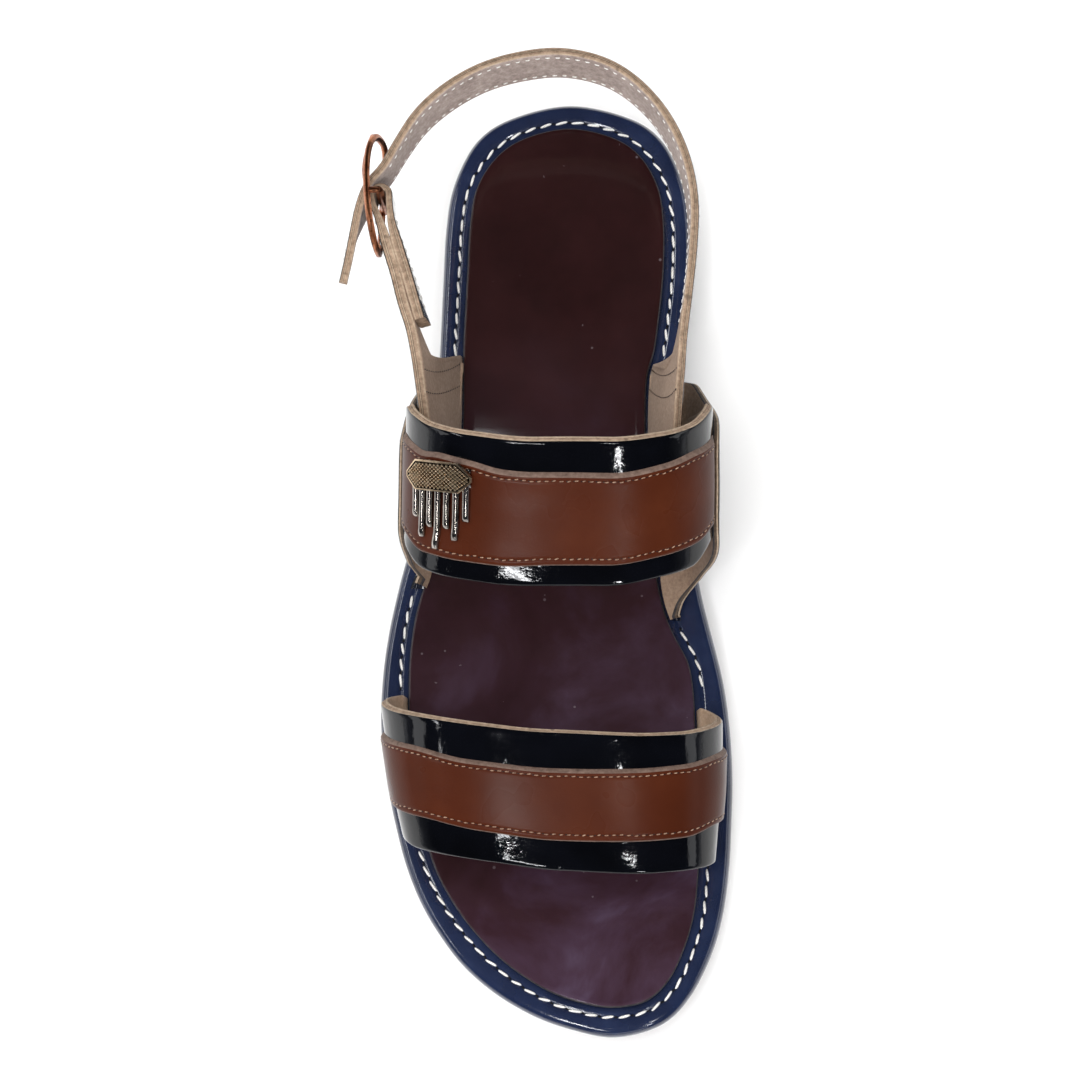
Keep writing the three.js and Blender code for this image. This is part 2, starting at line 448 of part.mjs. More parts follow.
// ---------------------------------------------------------------- bands
// Grid of a band between two offsets; angles from a0 to a1, part of the
// band's length from f0(a) to f1(a).
function bandWall(edge, a0, a1, nu, nv, f0, f1, off0, off1) {
  const rear = smooth(edge, 'a', 'rear'), front = smooth(edge, 'a', 'front');
  const inner = [], outer = [];
  for (let i = 0; i <= nu; i++) {
    const ri = [], ro = [];
    for (let j = 0; j <= nv; j++) {
      const k = i / nu;
      const aa = lerp(a0, a1, k);
      const f = lerp(f0(aa), f1(aa), j / nv);
      const y = lerp(rear(aa), front(aa), f);
      const lo = -footAngle(y, -1) * 180 / Math.PI, hi = 180 + footAngle(y, 1) * 180 / Math.PI;
      const a = clamp(aa, lo, hi);
      ri.push(onLast(y, a, off0)); ro.push(onLast(y, a, off1));
    }
    inner.push(ri); outer.push(ro);
  }
  return wall(inner, outer);
}
// The front band goes down to the rim: its rows are spread over the whole
// wall, from foot to foot, so that its ends are flat on the rim.
function footedBand(edge, nu, nv, off0, off1, lift) {
  const rear = smooth(edge, 'a', 'rear'), front = smooth(edge, 'a', 'front');
  const inner = [], outer = [];
  for (let i = 0; i <= nu; i++) {
    const ri = [], ro = [];
    for (let j = 0; j <= nv; j++) {
      const k = i / nu;
      let y = 0, a = 90;
      for (let it = 0; it < 8; it++) {
        const lo = -footAngle(y, -1) * 180 / Math.PI, hi = 180 + footAngle(y, 1) * 180 / Math.PI;
        a = lerp(lo, hi, k);
        y = lerp(rear(a), front(a), j / nv);
      }
      const p = onLast(y, a, off0), q = onLast(y, a, off1);
      if (i === 0 || i === nu) {                       // sewn edge, down beside the footbed
        p.z = q.z = rimZ(y) + lift;
        const side = i === 0 ? -1 : 1, bed = i === 0 ? bedEdge.lat(y) : bedEdge.med(y);
        p.x = bed + side * (1.5 * GAP + off0); q.x = bed + side * (1.5 * GAP + off1);
      }
      ri.push(p); ro.push(q);
    }
    inner.push(ri); outer.push(ro);
  }
  return wall(inner, outer);
}

// ---------------------------------------------------------------- sole
const ST = 30;
const sole = (inset) => outline(SOLE, SOLE_HEEL, SOLE_TOE, inset, ST);
const bed = (inset) => outline(BED, BED_HEEL, BED_TOE, inset, 34);
const bedEdge = bed(0);
const flat = (dz) => (y) => underZ(y) + dz;

const outsole = stack([
  { o: sole(2.2), z: flat(0) }, { o: sole(1.0), z: flat(0.5) },
  { o: sole(0.7), z: flat(1.6) }, { o: sole(0.7), z: flat(OUTSOLE) },
]);
const m0 = OUTSOLE + GAP;
const midsole = stack([
  { o: sole(1.2), z: flat(m0) }, { o: sole(0.3), z: flat(m0 + 0.7) },
  { o: sole(0), z: flat(m0 + 2.6) }, { o: sole(0.5), z: flat(m0 + 4.1) },
  { o: sole(1.7), z: flat(m0 + 5.1) }, { o: sole(3.4), z: flat(m0 + MIDSOLE) },
]);
const b0 = m0 + MIDSOLE + GAP;
const insole = stack([
  { o: bed(0.15), z: flat(b0) }, { o: bed(0), z: flat(b0 + 0.3) },
  { o: bed(0), z: flat(b0 + INSOLE - 0.5) }, { o: bed(0.5), z: flat(b0 + INSOLE) },
]);

// Heel block: the sole's outline behind the breast line, which is hollowed.
function heelBlock() {
  const breast = 76, hollow = 4, n = 14, levels = [
    { inset: 3.0, z: 0 }, { inset: 2.4, z: 0.6 }, { inset: 1.9, z: 2.9 }, { inset: 1.9, z: 3.5 },
    { inset: 1.6, z: HEEL_H - GAP },
  ];
  const pos = [], idx = [], rings = [];
  for (const L of levels) {
    const o = outline(SOLE, SOLE_HEEL, SOLE_TOE, L.inset, ST), ids = [];
    const put = (x, y) => { ids.push(pos.length / 3); pos.push(x, y, L.z); };
    put(o.top.x, o.top.y);
    const ys = [];
    for (let k = 1; k <= n; k++) ys.push(o.top.y + (breast - o.top.y) * (1 - Math.cos(Math.PI / 2 * k / n)));
    ys.forEach((y) => put(o.lat(y), y));
    const xl = o.lat(breast), xr = o.med(breast), nb = 6;
    for (let k = 1; k < nb; k++) {
      const t = k / nb;
      put(lerp(xl, xr, t), breast + hollow * Math.sin(Math.PI * t));
    }
    [...ys].reverse().forEach((y) => put(o.med(y), y));
    rings.push(ids);
  }
  const m = rings[0].length;
  for (let j = 0; j < rings.length - 1; j++) for (let i = 0; i < m; i++) {
    const a = rings[j][i], b = rings[j][(i + 1) % m], c = rings[j + 1][i], d = rings[j + 1][(i + 1) % m];
    idx.push(a, b, d, a, d, c);
  }
  const cap = (R, up) => {
    const contour = R.map((i) => new THREE.Vector2(pos[i * 3], pos[i * 3 + 1]));
    for (const [a, b, c] of THREE.ShapeUtils.triangulateShape(contour, [])) {
      if (up) idx.push(R[a], R[b], R[c]); else idx.push(R[a], R[c], R[b]);
    }
  };
  cap(rings[0], false); cap(rings[rings.length - 1], true);
  return closed(pos, idx);
}

// ---------------------------------------------------------------- upper
const frontBand = footedBand(FRONT_EDGE, 36, 4, 0.05, BAND, GAP);
const stripOff = BAND + GAP;
const fr0 = smooth(FRONT_STRIP, 'a', 'from'), fr1 = smooth(FRONT_STRIP, 'a', 'to');
const in0 = smooth(INSTEP_STRIP, 'a', 'from'), in1 = smooth(INSTEP_STRIP, 'a', 'to');
const frontOverlay = bandWall(FRONT_EDGE, -12, 192, 34, 3, fr0, fr1, stripOff, stripOff + OVERLAY);
const instepOverlay = bandWall(INSTEP_EDGE, 11.5, 168.5, 30, 4, in0, in1, stripOff, stripOff + OVERLAY);

const instepBand = bandWall(INSTEP_EDGE, -28, 208, 36, 5, () => 0, () => 1, 0, BAND);

// Side wing: from the rim up to its top edge, outside the instep band. It
// leaves the rim at the footbed's edge and stands off by the band's
// thickness where the band goes down inside it.
function sideWing(table, side, nu, nv) {
  const topA = smooth(table, 'y', 'a');
  const y0 = table[0].y, y1 = table[table.length - 1].y, inner = [], outer = [];
  for (let i = 0; i <= nu; i++) {
    const y = lerp(y0, y1, i / nu), foot = -footAngle(y, side) * 180 / Math.PI;
    const ri = [], ro = [];
    for (let j = 0; j <= nv; j++) {
      const up = Math.max(topA(y), foot + 3);
      const a = lerp(foot, up, j / nv);
      const A = side < 0 ? a : 180 - a;
      const h = lastPoint(y, A).z - bedZ(y);
      const stand = (BAND - 0.15) * clamp(h / 12, 0, 1);
      const p = onLast(y, A, stand - 1.3 * clamp(1 - h / 9, 0, 1)), q = onLast(y, A, stand + WING);
      if (j === 0) {
        const b = side < 0 ? bedEdge.lat(y) : bedEdge.med(y);
        p.set(b + side * (2 * GAP + 0.8), y, rimZ(y) + GAP); q.set(b + side * (2 * GAP + 1.6 + WING), y, rimZ(y) + GAP);
      }
      ri.push(p); ro.push(q);
    }
    inner.push(ri); outer.push(ro);
  }
  return wall(inner, outer);
}

// A flat strap swept along its table: top edge, lower edge, thickness.
function strapSheet(rows, side, thick, nv, segs) {
  const tops = new THREE.CatmullRomCurve3(rows.map((r) => new THREE.Vector3(r.x, r.y, r.z)), false, 'centripetal');
  const lows = new THREE.CatmullRomCurve3(rows.map((r) => {
    if (r.base) {
      const b = side < 0 ? bedEdge.lat(r.by) : bedEdge.med(r.by);
      return new THREE.Vector3(b + side * (2 * GAP + thick / 2), r.by, rimZ(r.by) + GAP + 0.4);
    }
    const h = Math.sqrt(r.w * r.w - r.dx * r.dx - r.dy * r.dy);
    return new THREE.Vector3(r.x + r.dx, r.y + r.dy, r.z - h);
  }), false, 'centripetal');
  const inner = [], outer = [], n = rows.length - 1;
  const us = [];
  for (let i = 0; i < n; i++) {
    const d = Math.hypot(rows[i + 1].x - rows[i].x, rows[i + 1].y - rows[i].y, rows[i + 1].z - rows[i].z);
    const k = Math.max(1, Math.round(d / segs));
    for (let j = 0; j < k; j++) us.push((i + j / k) / n);
  }
  us.push(1);
  const tp = us.map((u) => tops.getPoint(u)), lp = us.map((u) => lows.getPoint(u));
  for (let i = 0; i < us.length; i++) {
    const a = Math.max(0, i - 1), b = Math.min(us.length - 1, i + 1);
    const t = tp[b].clone().sub(tp[a]).normalize();
    const down = lp[i].clone().sub(tp[i]).normalize();
    const nrm = t.clone().cross(down).normalize();
    const ri = [], ro = [];
    for (let j = 0; j <= nv; j++) {
      const c = tp[i].clone().lerp(lp[i], j / nv);
      ri.push(c.clone().addScaledVector(nrm, -thick(i / (us.length - 1), c) / 2));
      ro.push(c.clone().addScaledVector(nrm, thick(i / (us.length - 1), c) / 2));
    }
    inner.push(ri); outer.push(ro);
  }
  return wall(inner, outer);
}
const asNumber = (v) => { const f = () => v; f.valueOf = () => v; return f; };
const heelStrap = strapSheet(HEEL_STRAP, 1, asNumber(STRAP), 3, 7);
const foldThick = (u, c) => lerp(FOLD, STRAP - 0.2, clamp((90 - c.y) / 16, 0, 1));
foldThick.valueOf = () => STRAP;
const buckleStrap = strapSheet(BUCKLE_STRAP, -1, foldThick, 3, 7);

// ---------------------------------------------------------------- buckle
class BuckleCurve extends THREE.Curve {
  getPoint(t, out = new THREE.Vector3()) {
    const w = t * Math.PI * 2, c = Math.cos(w), s = Math.sin(w), e = 2 / 2.5;
    const ly = BUCKLE.halfLong * Math.sign(c) * Math.abs(c) ** e, lz = BUCKLE.halfTall * Math.sign(s) * Math.abs(s) ** e;
    const k = clamp((ly + BUCKLE.halfLong) / (2 * BUCKLE.halfLong), 0, 1);   // 0 front, 1 rear
    const bow = 1.2 * (ly / BUCKLE.halfLong) ** 2;
    return out.set(BUCKLE.x - BUCKLE.lean * lz * (0.25 + k) + bow, BUCKLE.y + ly, BUCKLE.z + lz);
  }
}
// Ring of round wire along a closed curve.
function ringSolid(curve, r, n, m) {
  const pos = [], idx = [];
  for (let i = 0; i < n; i++) {
    const t = i / n, c = curve.getPoint(t);
    const tan = curve.getPoint((t + 1e-3) % 1).sub(curve.getPoint((t - 1e-3 + 1) % 1)).normalize();
    const X = new THREE.Vector3(1, 0, 0).addScaledVector(tan, -tan.x).normalize(), Y = tan.clone().cross(X);
    for (let j = 0; j < m; j++) {
      const a = 2 * Math.PI * j / m;
      const p = c.clone().addScaledVector(X, r * Math.cos(a)).addScaledVector(Y, r * Math.sin(a));
      pos.push(p.x, p.y, p.z);
    }
  }
  for (let i = 0; i < n; i++) for (let j = 0; j < m; j++) {
    const a = i * m + j, b = i * m + (j + 1) % m, c = ((i + 1) % n) * m + j, d = ((i + 1) % n) * m + (j + 1) % m;
    idx.push(a, b, d, a, d, c);
  }
  return closed(pos, idx);
}
const frameRing = ringSolid(new BuckleCurve(), BUCKLE.wire, 44, 8);
const barLen = BUCKLE.halfTall * 2 + 0.4;
const barGeo = new THREE.CylinderGeometry(BUCKLE.bar, BUCKLE.bar, barLen, 10);
barGeo.rotateX(Math.PI / 2);
// The bar stands inward of the rails; short arms at top and bottom meet them.
barGeo.translate(BAR.x, BAR.y, BUCKLE.z);
function arm(sign) {
  const zr = BUCKLE.z + sign * BUCKLE.halfTall * 0.995, xr = BUCKLE.x - BUCKLE.lean * sign * BUCKLE.halfTall * 0.72;
  const a = new THREE.Vector3(BAR.x + 0.3, BAR.y, zr - sign * 0.3), b = new THREE.Vector3(xr, BAR.y, zr);
  const len = a.distanceTo(b) + 0.6, g = new THREE.CylinderGeometry(1.15, 1.15, len, 8);
  const q = new THREE.Quaternion().setFromUnitVectors(new THREE.Vector3(0, 1, 0), b.clone().sub(a).normalize());
  g.applyQuaternion(q); const mid = a.add(b).multiplyScalar(0.5); g.translate(mid.x, mid.y, mid.z);
  return g;
}
const buckleSolid = toSolid(frameRing).add(toSolid(barGeo)).add(toSolid(arm(1))).add(toSolid(arm(-1)));

// Prong: from the bar through the strap's hole to the rear of the frame.
const PRONG = [
  { x: -53.0, y: 101.2, z: 73.6 }, { x: -54.6, y: 104.2, z: 73.6 }, { x: -54.9, y: 110, z: 73.6 },
  { x: -53.4, y: 116.2, z: 73.6 }, { x: -52.7, y: 118.6, z: 73.6 },
];
function tube(points, r, n, m) {
  const curve = new THREE.CatmullRomCurve3(points.map((p) => new THREE.Vector3(p.x, p.y, p.z)), false, 'centripetal');
  const s = new THREE.Shape();
  for (let j = 0; j < m; j++) {
    const a = 2 * Math.PI * j / m;
    if (j === 0) s.moveTo(r, 0); else s.lineTo(r * Math.cos(a), r * Math.sin(a));
  }
  s.closePath();
  return new THREE.ExtrudeGeometry(s, { steps: n, extrudePath: curve, bevelEnabled: false });
}
const prong = tube(PRONG, 0.85, 12, 8);

// ---------------------------------------------------------------- ornament
// Local frame on the strip's outer surface; u climbs the foot, v goes to
// the toe along the band.
function onStrip(u, v, off) {
  const arcPerDeg = lastPoint(6, ORNAMENT.a + 1).distanceTo(lastPoint(6, ORNAMENT.a - 1)) / 2;
  const a = ORNAMENT.a + u / arcPerDeg;
  const y = ORNAMENT.y - v - 0.18 * u;
  return onLast(y, a, stripOff + OVERLAY + off);
}
function platePatch(u0, u1, v0, v1, nu, nv, off0, off1) {
  const inner = [], outer = [];
  for (let i = 0; i <= nu; i++) {
    const ri = [], ro = [], u = lerp(u0, u1, i / nu);
    const a = typeof v0 === 'function' ? v0(u) : v0, b = typeof v1 === 'function' ? v1(u) : v1;
    for (let j = 0; j <= nv; j++) {
      const v = lerp(a, b, j / nv);
      ri.push(onStrip(u, v, off0)); ro.push(onStrip(u, v, off1));
    }
    inner.push(ri); outer.push(ro);
  }
  return wall(inner, outer);
}
const halfCut = (u) => ORNAMENT.plateCut * clamp((Math.abs(u) - ORNAMENT.plateHalf + 3.6) / 3.6, 0, 1);
let barsSolid = toSolid(platePatch(-9.2, 9.2, -2.0, 2.6, 10, 1, GAP, GAP + 1.0));
for (const b of BARS) barsSolid = barsSolid.add(toSolid(platePatch(b.u - 0.95, b.u + 0.95, 1.2, b.len, 1, 4, GAP, GAP + ORNAMENT.thick)));
const plate = platePatch(-ORNAMENT.plateHalf, ORNAMENT.plateHalf, (u) => -ORNAMENT.plateTall / 2 + halfCut(u),
  (u) => ORNAMENT.plateTall / 2 - halfCut(u), 14, 2, ORNAMENT.thick + 2 * GAP, ORNAMENT.thick + 2 * GAP + 1.2);

// ---------------------------------------------------------------- assembly
let upper = toSolid(instepBand)
  .add(toSolid(sideWing(WING_LAT, -1, 26, 8)))
  .add(toSolid(sideWing(WING_MED, 1, 30, 8)))
  .add(toSolid(heelStrap))
  .add(toSolid(buckleStrap));
// Hole for the prong in the heel strap.
const hole = new THREE.BoxGeometry(9, 5.2, 3.4);
hole.rotateZ(rad(35)); hole.translate(-52.6, 102.4, 73.6);
upper = upper.subtract(toSolid(hole));

const finish = {
  outsole: { color: 0x2b2320, roughness: 0.7, metalness: 0 },
  navy: { color: 0x232d55, roughness: 0.18, metalness: 0 },
  oxblood: { color: 0x341a1e, roughness: 0.3, metalness: 0 },
  patent: { color: 0x07090f, roughness: 0.08, metalness: 0 },
  brown: { color: 0x5a2614, roughness: 0.16, metalness: 0 },
  copper: { color: 0x96502d, roughness: 0.35, metalness: 1 },
  gold: { color: 0xb89a6a, roughness: 0.35, metalness: 1 },
  gunmetal: { color: 0x2a2a30, roughness: 0.25, metalness: 1 },
};
const group = new THREE.Group();
function add(name, geometry, look) {
  const mesh = new THREE.Mesh(geometry, new THREE.MeshStandardMaterial(finish[look]));
  mesh.name = name;
  group.add(mesh);
}
add('heel_block', heelBlock(), 'outsole');
add('outsole', outsole, 'outsole');
add('midsole', midsole, 'navy');
add('insole', insole, 'oxblood');
add('front_band', frontBand, 'patent');
add('front_overlay', frontOverlay, 'brown');
add('upper', fromSolid(upper), 'patent');
add('instep_overlay', instepOverlay, 'brown');
add('buckle', fromSolid(buckleSolid), 'copper');
add('buckle_prong', prong, 'copper');
add('ornament_bars', fromSolid(barsSolid), 'gunmetal');
add('ornament_plate', plate, 'gold');
group.position.set(-ORIGIN.x, -ORIGIN.y, -ORIGIN.z);
export default group;
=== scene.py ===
"""Right-foot strap sandal: fine leather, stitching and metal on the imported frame.

Tables are in millimetres, in the part's own frame before it is centred: +X is
the big-toe side, +Y the heel, +Z up.
"""

import math

import bmesh
import bpy
import numpy as np
from mathutils import Matrix, Vector


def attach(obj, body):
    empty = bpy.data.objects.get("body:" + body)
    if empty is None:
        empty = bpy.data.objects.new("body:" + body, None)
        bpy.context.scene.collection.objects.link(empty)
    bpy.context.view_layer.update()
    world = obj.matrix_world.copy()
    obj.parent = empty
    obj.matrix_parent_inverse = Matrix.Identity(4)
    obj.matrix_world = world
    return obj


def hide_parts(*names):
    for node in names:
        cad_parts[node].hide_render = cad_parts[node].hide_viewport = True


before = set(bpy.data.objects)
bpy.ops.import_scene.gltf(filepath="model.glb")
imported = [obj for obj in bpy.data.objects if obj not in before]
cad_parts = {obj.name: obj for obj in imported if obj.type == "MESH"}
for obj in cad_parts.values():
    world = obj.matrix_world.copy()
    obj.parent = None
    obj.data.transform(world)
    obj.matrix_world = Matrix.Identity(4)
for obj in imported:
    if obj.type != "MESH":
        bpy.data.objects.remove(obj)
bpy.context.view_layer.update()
rng = np.random.default_rng(7)

MM = 0.001
SHIFT = np.array([3.6, 0.35, 0.0])      # the part's centring

# ------------------------------------------------------------------ sizes
GAP, OUTSOLE, MIDSOLE, INSOLE, HEEL_H = 0.3, 4.5, 5.5, 2.6, 12.0
BAND, WING, OVERLAY, STRAP, FOLD, STRAP_W = 2.4, 2.1, 1.2, 2.6, 2.0, 16.0
CROWN = 2.25

SOLE = [  # y, lateral x, medial x
    (139.6, -17.2, 25.0), (133.8, -24.9, 32.3), (126.3, -29.5, 36.8), (116.0, -33.1, 40.2),
    (104.0, -34.6, 41.7), (85.0, -35.3, 41.4), (66.0, -35.9, 40.2), (47.0, -36.8, 39.6),
    (28.0, -39.2, 40.3), (8.0, -44.4, 42.4), (-8.0, -48.6, 45.0), (-23.0, -51.5, 48.7),
    (-36.0, -52.9, 51.9), (-50.0, -53.1, 53.9), (-66.0, -51.2, 54.8), (-80.0, -48.2, 54.5),
    (-93.0, -44.6, 53.9), (-105.0, -39.6, 52.5), (-115.0, -33.5, 50.3), (-124.0, -26.4, 47.0),
    (-132.5, -16.4, 42.6), (-139.4, -4.4, 36.9), (-143.3, 6.6, 30.2),
]
SOLE_HEEL, SOLE_TOE = (3.8, 144.9), (18.8, -145.6)
BED = [
    (131.8, -12.2, 19.8), (125.8, -19.6, 26.8), (116.4, -24.9, 31.7), (105.5, -26.7, 33.4),
    (89.4, -27.4, 33.4), (76.0, -27.9, 32.2), (64.0, -28.3, 30.6), (57.0, -28.2, 28.6),
    (40.0, -28.4, 28.0), (22.0, -30.6, 28.4), (6.0, -35.2, 29.8), (-7.0, -40.0, 32.0),
    (-16.0, -42.5, 34.2), (-23.5, -43.6, 37.4), (-31.0, -44.2, 41.3), (-40.0, -44.3, 42.9),
    (-52.0, -43.8, 43.6), (-70.0, -41.9, 44.7), (-90.2, -37.0, 44.8), (-98.0, -33.8, 44.4),
    (-107.2, -28.3, 43.5), (-114.3, -22.8, 41.9), (-121.5, -15.8, 39.4), (-127.4, -8.2, 36.6),
    (-132.2, 0.0, 32.8), (-135.4, 8.8, 28.2),
]
BED_HEEL, BED_TOE = (3.8, 135.9), (18.6, -137.0)
UNDER = [(146, 12.0), (74, 12.0), (58, 10.9), (40, 8.0), (22, 4.4), (4, 1.3), (-12, 0),
         (-84, 0), (-104, 1.2), (-126, 4.4), (-147, 8.6)]
LAST = [  # y, latBelly, medBelly, latBase, medBase, belly height, top height
    (66, -39.4, 46.6, -29.0, 31.2, 46, 86), (45, -39.4, 46.8, -29.6, 29.6, 45, 80.5),
    (30, -39.6, 46.8, -30.8, 29.6, 44, 76.5), (15, -40.0, 47.0, -33.4, 30.2, 42, 71.5),
    (0, -40.6, 46.8, -37.4, 31.8, 39, 66.5), (-12, -43.0, 46.6, -41.8, 34.6, 35, 62),
    (-25, -46.6, 47.2, -44.4, 39.6, 29, 56.5), (-42, -49.0, 48.9, -44.7, 43.5, 19, 46.5),
    (-55, -47.6, 49.6, -43.9, 44.2, 16, 42.4), (-70, -45.2, 49.4, -42.3, 45.1, 15, 39.0),
    (-85, -41.9, 48.2, -39.0, 45.3, 14, 35.4), (-103, -36.4, 46.9, -31.2, 44.3, 13, 29.6),
]
FRONT_EDGE = [(-75, -32.5, -83.0), (0, -46.0, -87.2), (22, -50.2, -91.2), (45, -53.7, -94.4),
              (68, -56.8, -97.0), (90, -59.0, -99.3), (115, -59.6, -100.0), (138, -58.4, -98.9),
              (160, -55.3, -96.9), (180, -51.4, -94.4), (255, -33.5, -89.0)]
INSTEP_EDGE = [(-75, 39.0, 4.0), (-20, 38.0, 2.5), (4, 36.4, -1.0), (20, 32.2, -6.6), (38, 27.1, -12.9),
               (60, 23.3, -16.8), (85, 21.0, -19.1), (108, 21.2, -18.9), (132, 23.8, -15.4),
               (152, 28.0, -11.0), (168, 33.4, -4.0), (180, 37.0, -0.6), (205, 39.0, 2.5), (255, 40.0, 6.0)]
FRONT_STRIP = [(-30, .215, .735), (36, .228, .742), (62, .268, .772), (90, .268, .777), (116, .248, .762),
               (143, .226, .75), (165, .202, .70), (210, .2, .69)]
INSTEP_STRIP = [(-4, .2, .86), (19, .2, .875), (30, .2, .885), (45, .168, .87), (58, .178, .868),
                (73, .212, .865), (91, .218, .848), (110, .222, .847), (130, .205, .842),
                (150, .177, .83), (170, .215, .85), (184, .215, .85)]
WING_LAT = [(60.5, -58), (58.6, -44), (56.6, -34), (50.6, -26), (41.3, -14), (31.7, -5), (25, 1.5), (18, 5),
            (8, 5), (2, 1), (-0.8, -3), (-2.8, -9), (-4.4, -13.5), (-6.2, -17), (-7.6, -19)]
WING_MED = [(56.4, -54), (54.2, -46), (52.2, -38), (50.2, -32), (47.2, -28), (42.9, -22), (38, -13),
            (33, -4), (27, 2.5), (19, 6), (7, 6), (1, 4), (-2.6, -2), (-5, -14), (-6.8, -25),
            (-9.6, -32), (-13.6, -37), (-17.5, -38.5)]
# strap tables: x, y, z of the top edge, then base y, or dx, dy, width
HEEL_STRAP = [
    (35.0, 0, 37, 'b', 0), (36.8, 14, 50, 'b', 16), (38.4, 28, 60, 'b', 32), (39.4, 42, 67.5, 'b', 49),
    (39.9, 47, 69.9, 'b', 57), (40.05, 49.5, 71.0, 'b', 60), (40.2, 51.5, 71.8, -8.2, 5.7, 40),
    (40.35, 53.5, 72.5, -6.0, 0.1, 29.1), (40.5, 55.8, 73.2, -3.8, -3.9, 21.8), (40.9, 59.5, 74.4, -2.0, -1.8, 17.0),
    (42.2, 70.0, 77.2, -1.0, 0, 16), (43.5, 83.0, 79.8, -0.9, 0, 16), (43.8, 95.0, 81.6, -1.2, -0.2, 16),
    (42.0, 106.0, 83.0, -1.2, -0.5, 16), (38.0, 116.5, 84.2, -1.1, -0.9, 16),
    (32.2, 125.4, 85.2, -1.0, -1.2, 16), (24.4, 132.9, 86.0, -0.8, -1.5, 16),
    (16.0, 137.6, 86.4, -0.5, -1.8, 16), (4.0, 140.2, 86.5, 0, -2.0, 16), (-8.4, 139.2, 86.2, 0.4, -2.0, 16),
    (-20.4, 135.8, 85.4, 0.7, -1.8, 16), (-31.0, 129.8, 84.2, 0.9, -1.4, 16),
    (-38.8, 122.6, 83.2, 0.8, -0.9, 16), (-44.2, 114.4, 82.4, 0.5, -0.5, 16),
    (-48.6, 106.6, 81.9, 0.3, -0.2, 16), (-53.4, 100.6, 81.6, 0.6, 0, 16), (-55.6, 94.6, 81.2, -0.6, 0, 16),
    (-57.2, 87.0, 79.8, -2.2, 0.4, 15.4), (-58.8, 79.4, 77.6, -2.0, 1.2, 13.6), (-60.7, 72.4, 74.6, -0.9, 1.8, 8.0),
]
BARX, BARY = -49.6, 98.0
BUCKLE_STRAP = [
    (-34.0, 0, 37, 'b', 0), (-35.0, 14, 49, 'b', 16), (-36.2, 28, 58, 'b', 32), (-37.8, 42, 64.5, 'b', 50),
    (-38.4, 46.5, 66.3, 'b', 59), (-38.75, 49, 67.3, 'b', 63), (-39.1, 51.3, 68.2, 7.1, 8.2, 37),
    (-39.5, 53.6, 69.0, 5.4, 2.0, 26.6), (-39.9, 56, 69.8, 3.9, -2.6, 20.4), (-40.7, 59.8, 71.1, 2.0, -1.6, 16.8),
    (-43.0, 67.0, 73.4, 0.8, 0, 15), (-45.2, 75.5, 76.0, 0.5, 0, 14), (-47.4, 82.5, 78.2, 0.3, 0, 13.6),
    (-49.9, 90.6, 80.0, 0, 0, 13.4), (BARX - 2.62, 96.6, 80.3, 0, 0, 13.4), (BARX - 2.3, 99.4, 80.3, 0, 0, 13.4),
    (BARX, BARY + 2.65, 80.3, 0, 0, 13.4), (BARX + 2.3, 99.4, 80.3, 0, 0, 13.4),
    (BARX + 2.62, 96.6, 80.3, 0, 0, 13.4), (-46.2, 90.0, 79.6, 0.2, 0, 13.4), (-44.2, 82.6, 78.0, 0.4, 0, 13.4),
    (-41.7, 74.8, 75.8, 0.6, 0, 13.4), (-39.3, 66.6, 73.0, 0.9, 0, 13), (-38.0, 62.2, 71.6, 1.2, 0, 10),
]
BUCKLE = dict(y=99.6, z=73.6, halfLong=17.4, halfTall=11.6, wire=1.1, lean=.16, x=-51.9, bar=1.2)
PRONG = [(-53.0, 101.2, 73.6), (-54.6, 104.2, 73.6), (-54.9, 110, 73.6), (-53.4, 116.2, 73.6), (-52.7, 118.6, 73.6)]
ORN = dict(a=45, y=13.4, half=10.2, tall=8.6, cut=3.4, thick=1.5)
BARS = [(-8.1, 12), (-5.4, 17.5), (-2.7, 14.5), (0, 20.4), (2.7, 14.5), (5.4, 17.5), (8.1, 12)]


# ------------------------------------------------------------------ curves
def smooth(xs, ys):
    """Curve through a table that never overshoots its rows."""
    xs, ys = np.array(xs, float), np.array(ys, float)
    o = np.argsort(xs)
    xs, ys = xs[o], ys[o]
    d = np.diff(ys) / np.diff(xs)
    m = np.empty(len(xs))
    m[0], m[-1] = d[0], d[-1]
    prod, tot = d[:-1] * d[1:], d[:-1] + d[1:]
    m[1:-1] = np.where(prod <= 0, 0, 2 * prod / np.where(tot == 0, 1, tot))

    def f(v):
        x = np.clip(v, xs[0], xs[-1])
        i = np.clip(np.searchsorted(xs, x, side='right') - 1, 0, len(xs) - 2)
        h = xs[i + 1] - xs[i]
        t = (x - xs[i]) / h
        t2, t3 = t * t, t * t * t
        return ((2 * t3 - 3 * t2 + 1) * ys[i] + (t3 - 2 * t2 + t) * h * m[i]
                + (3 * t2 - 2 * t3) * ys[i + 1] + (t3 - t2) * h * m[i + 1])
    return f


def table(rows, col, key=0):
    return smooth([r[key] for r in rows], [r[col] for r in rows])


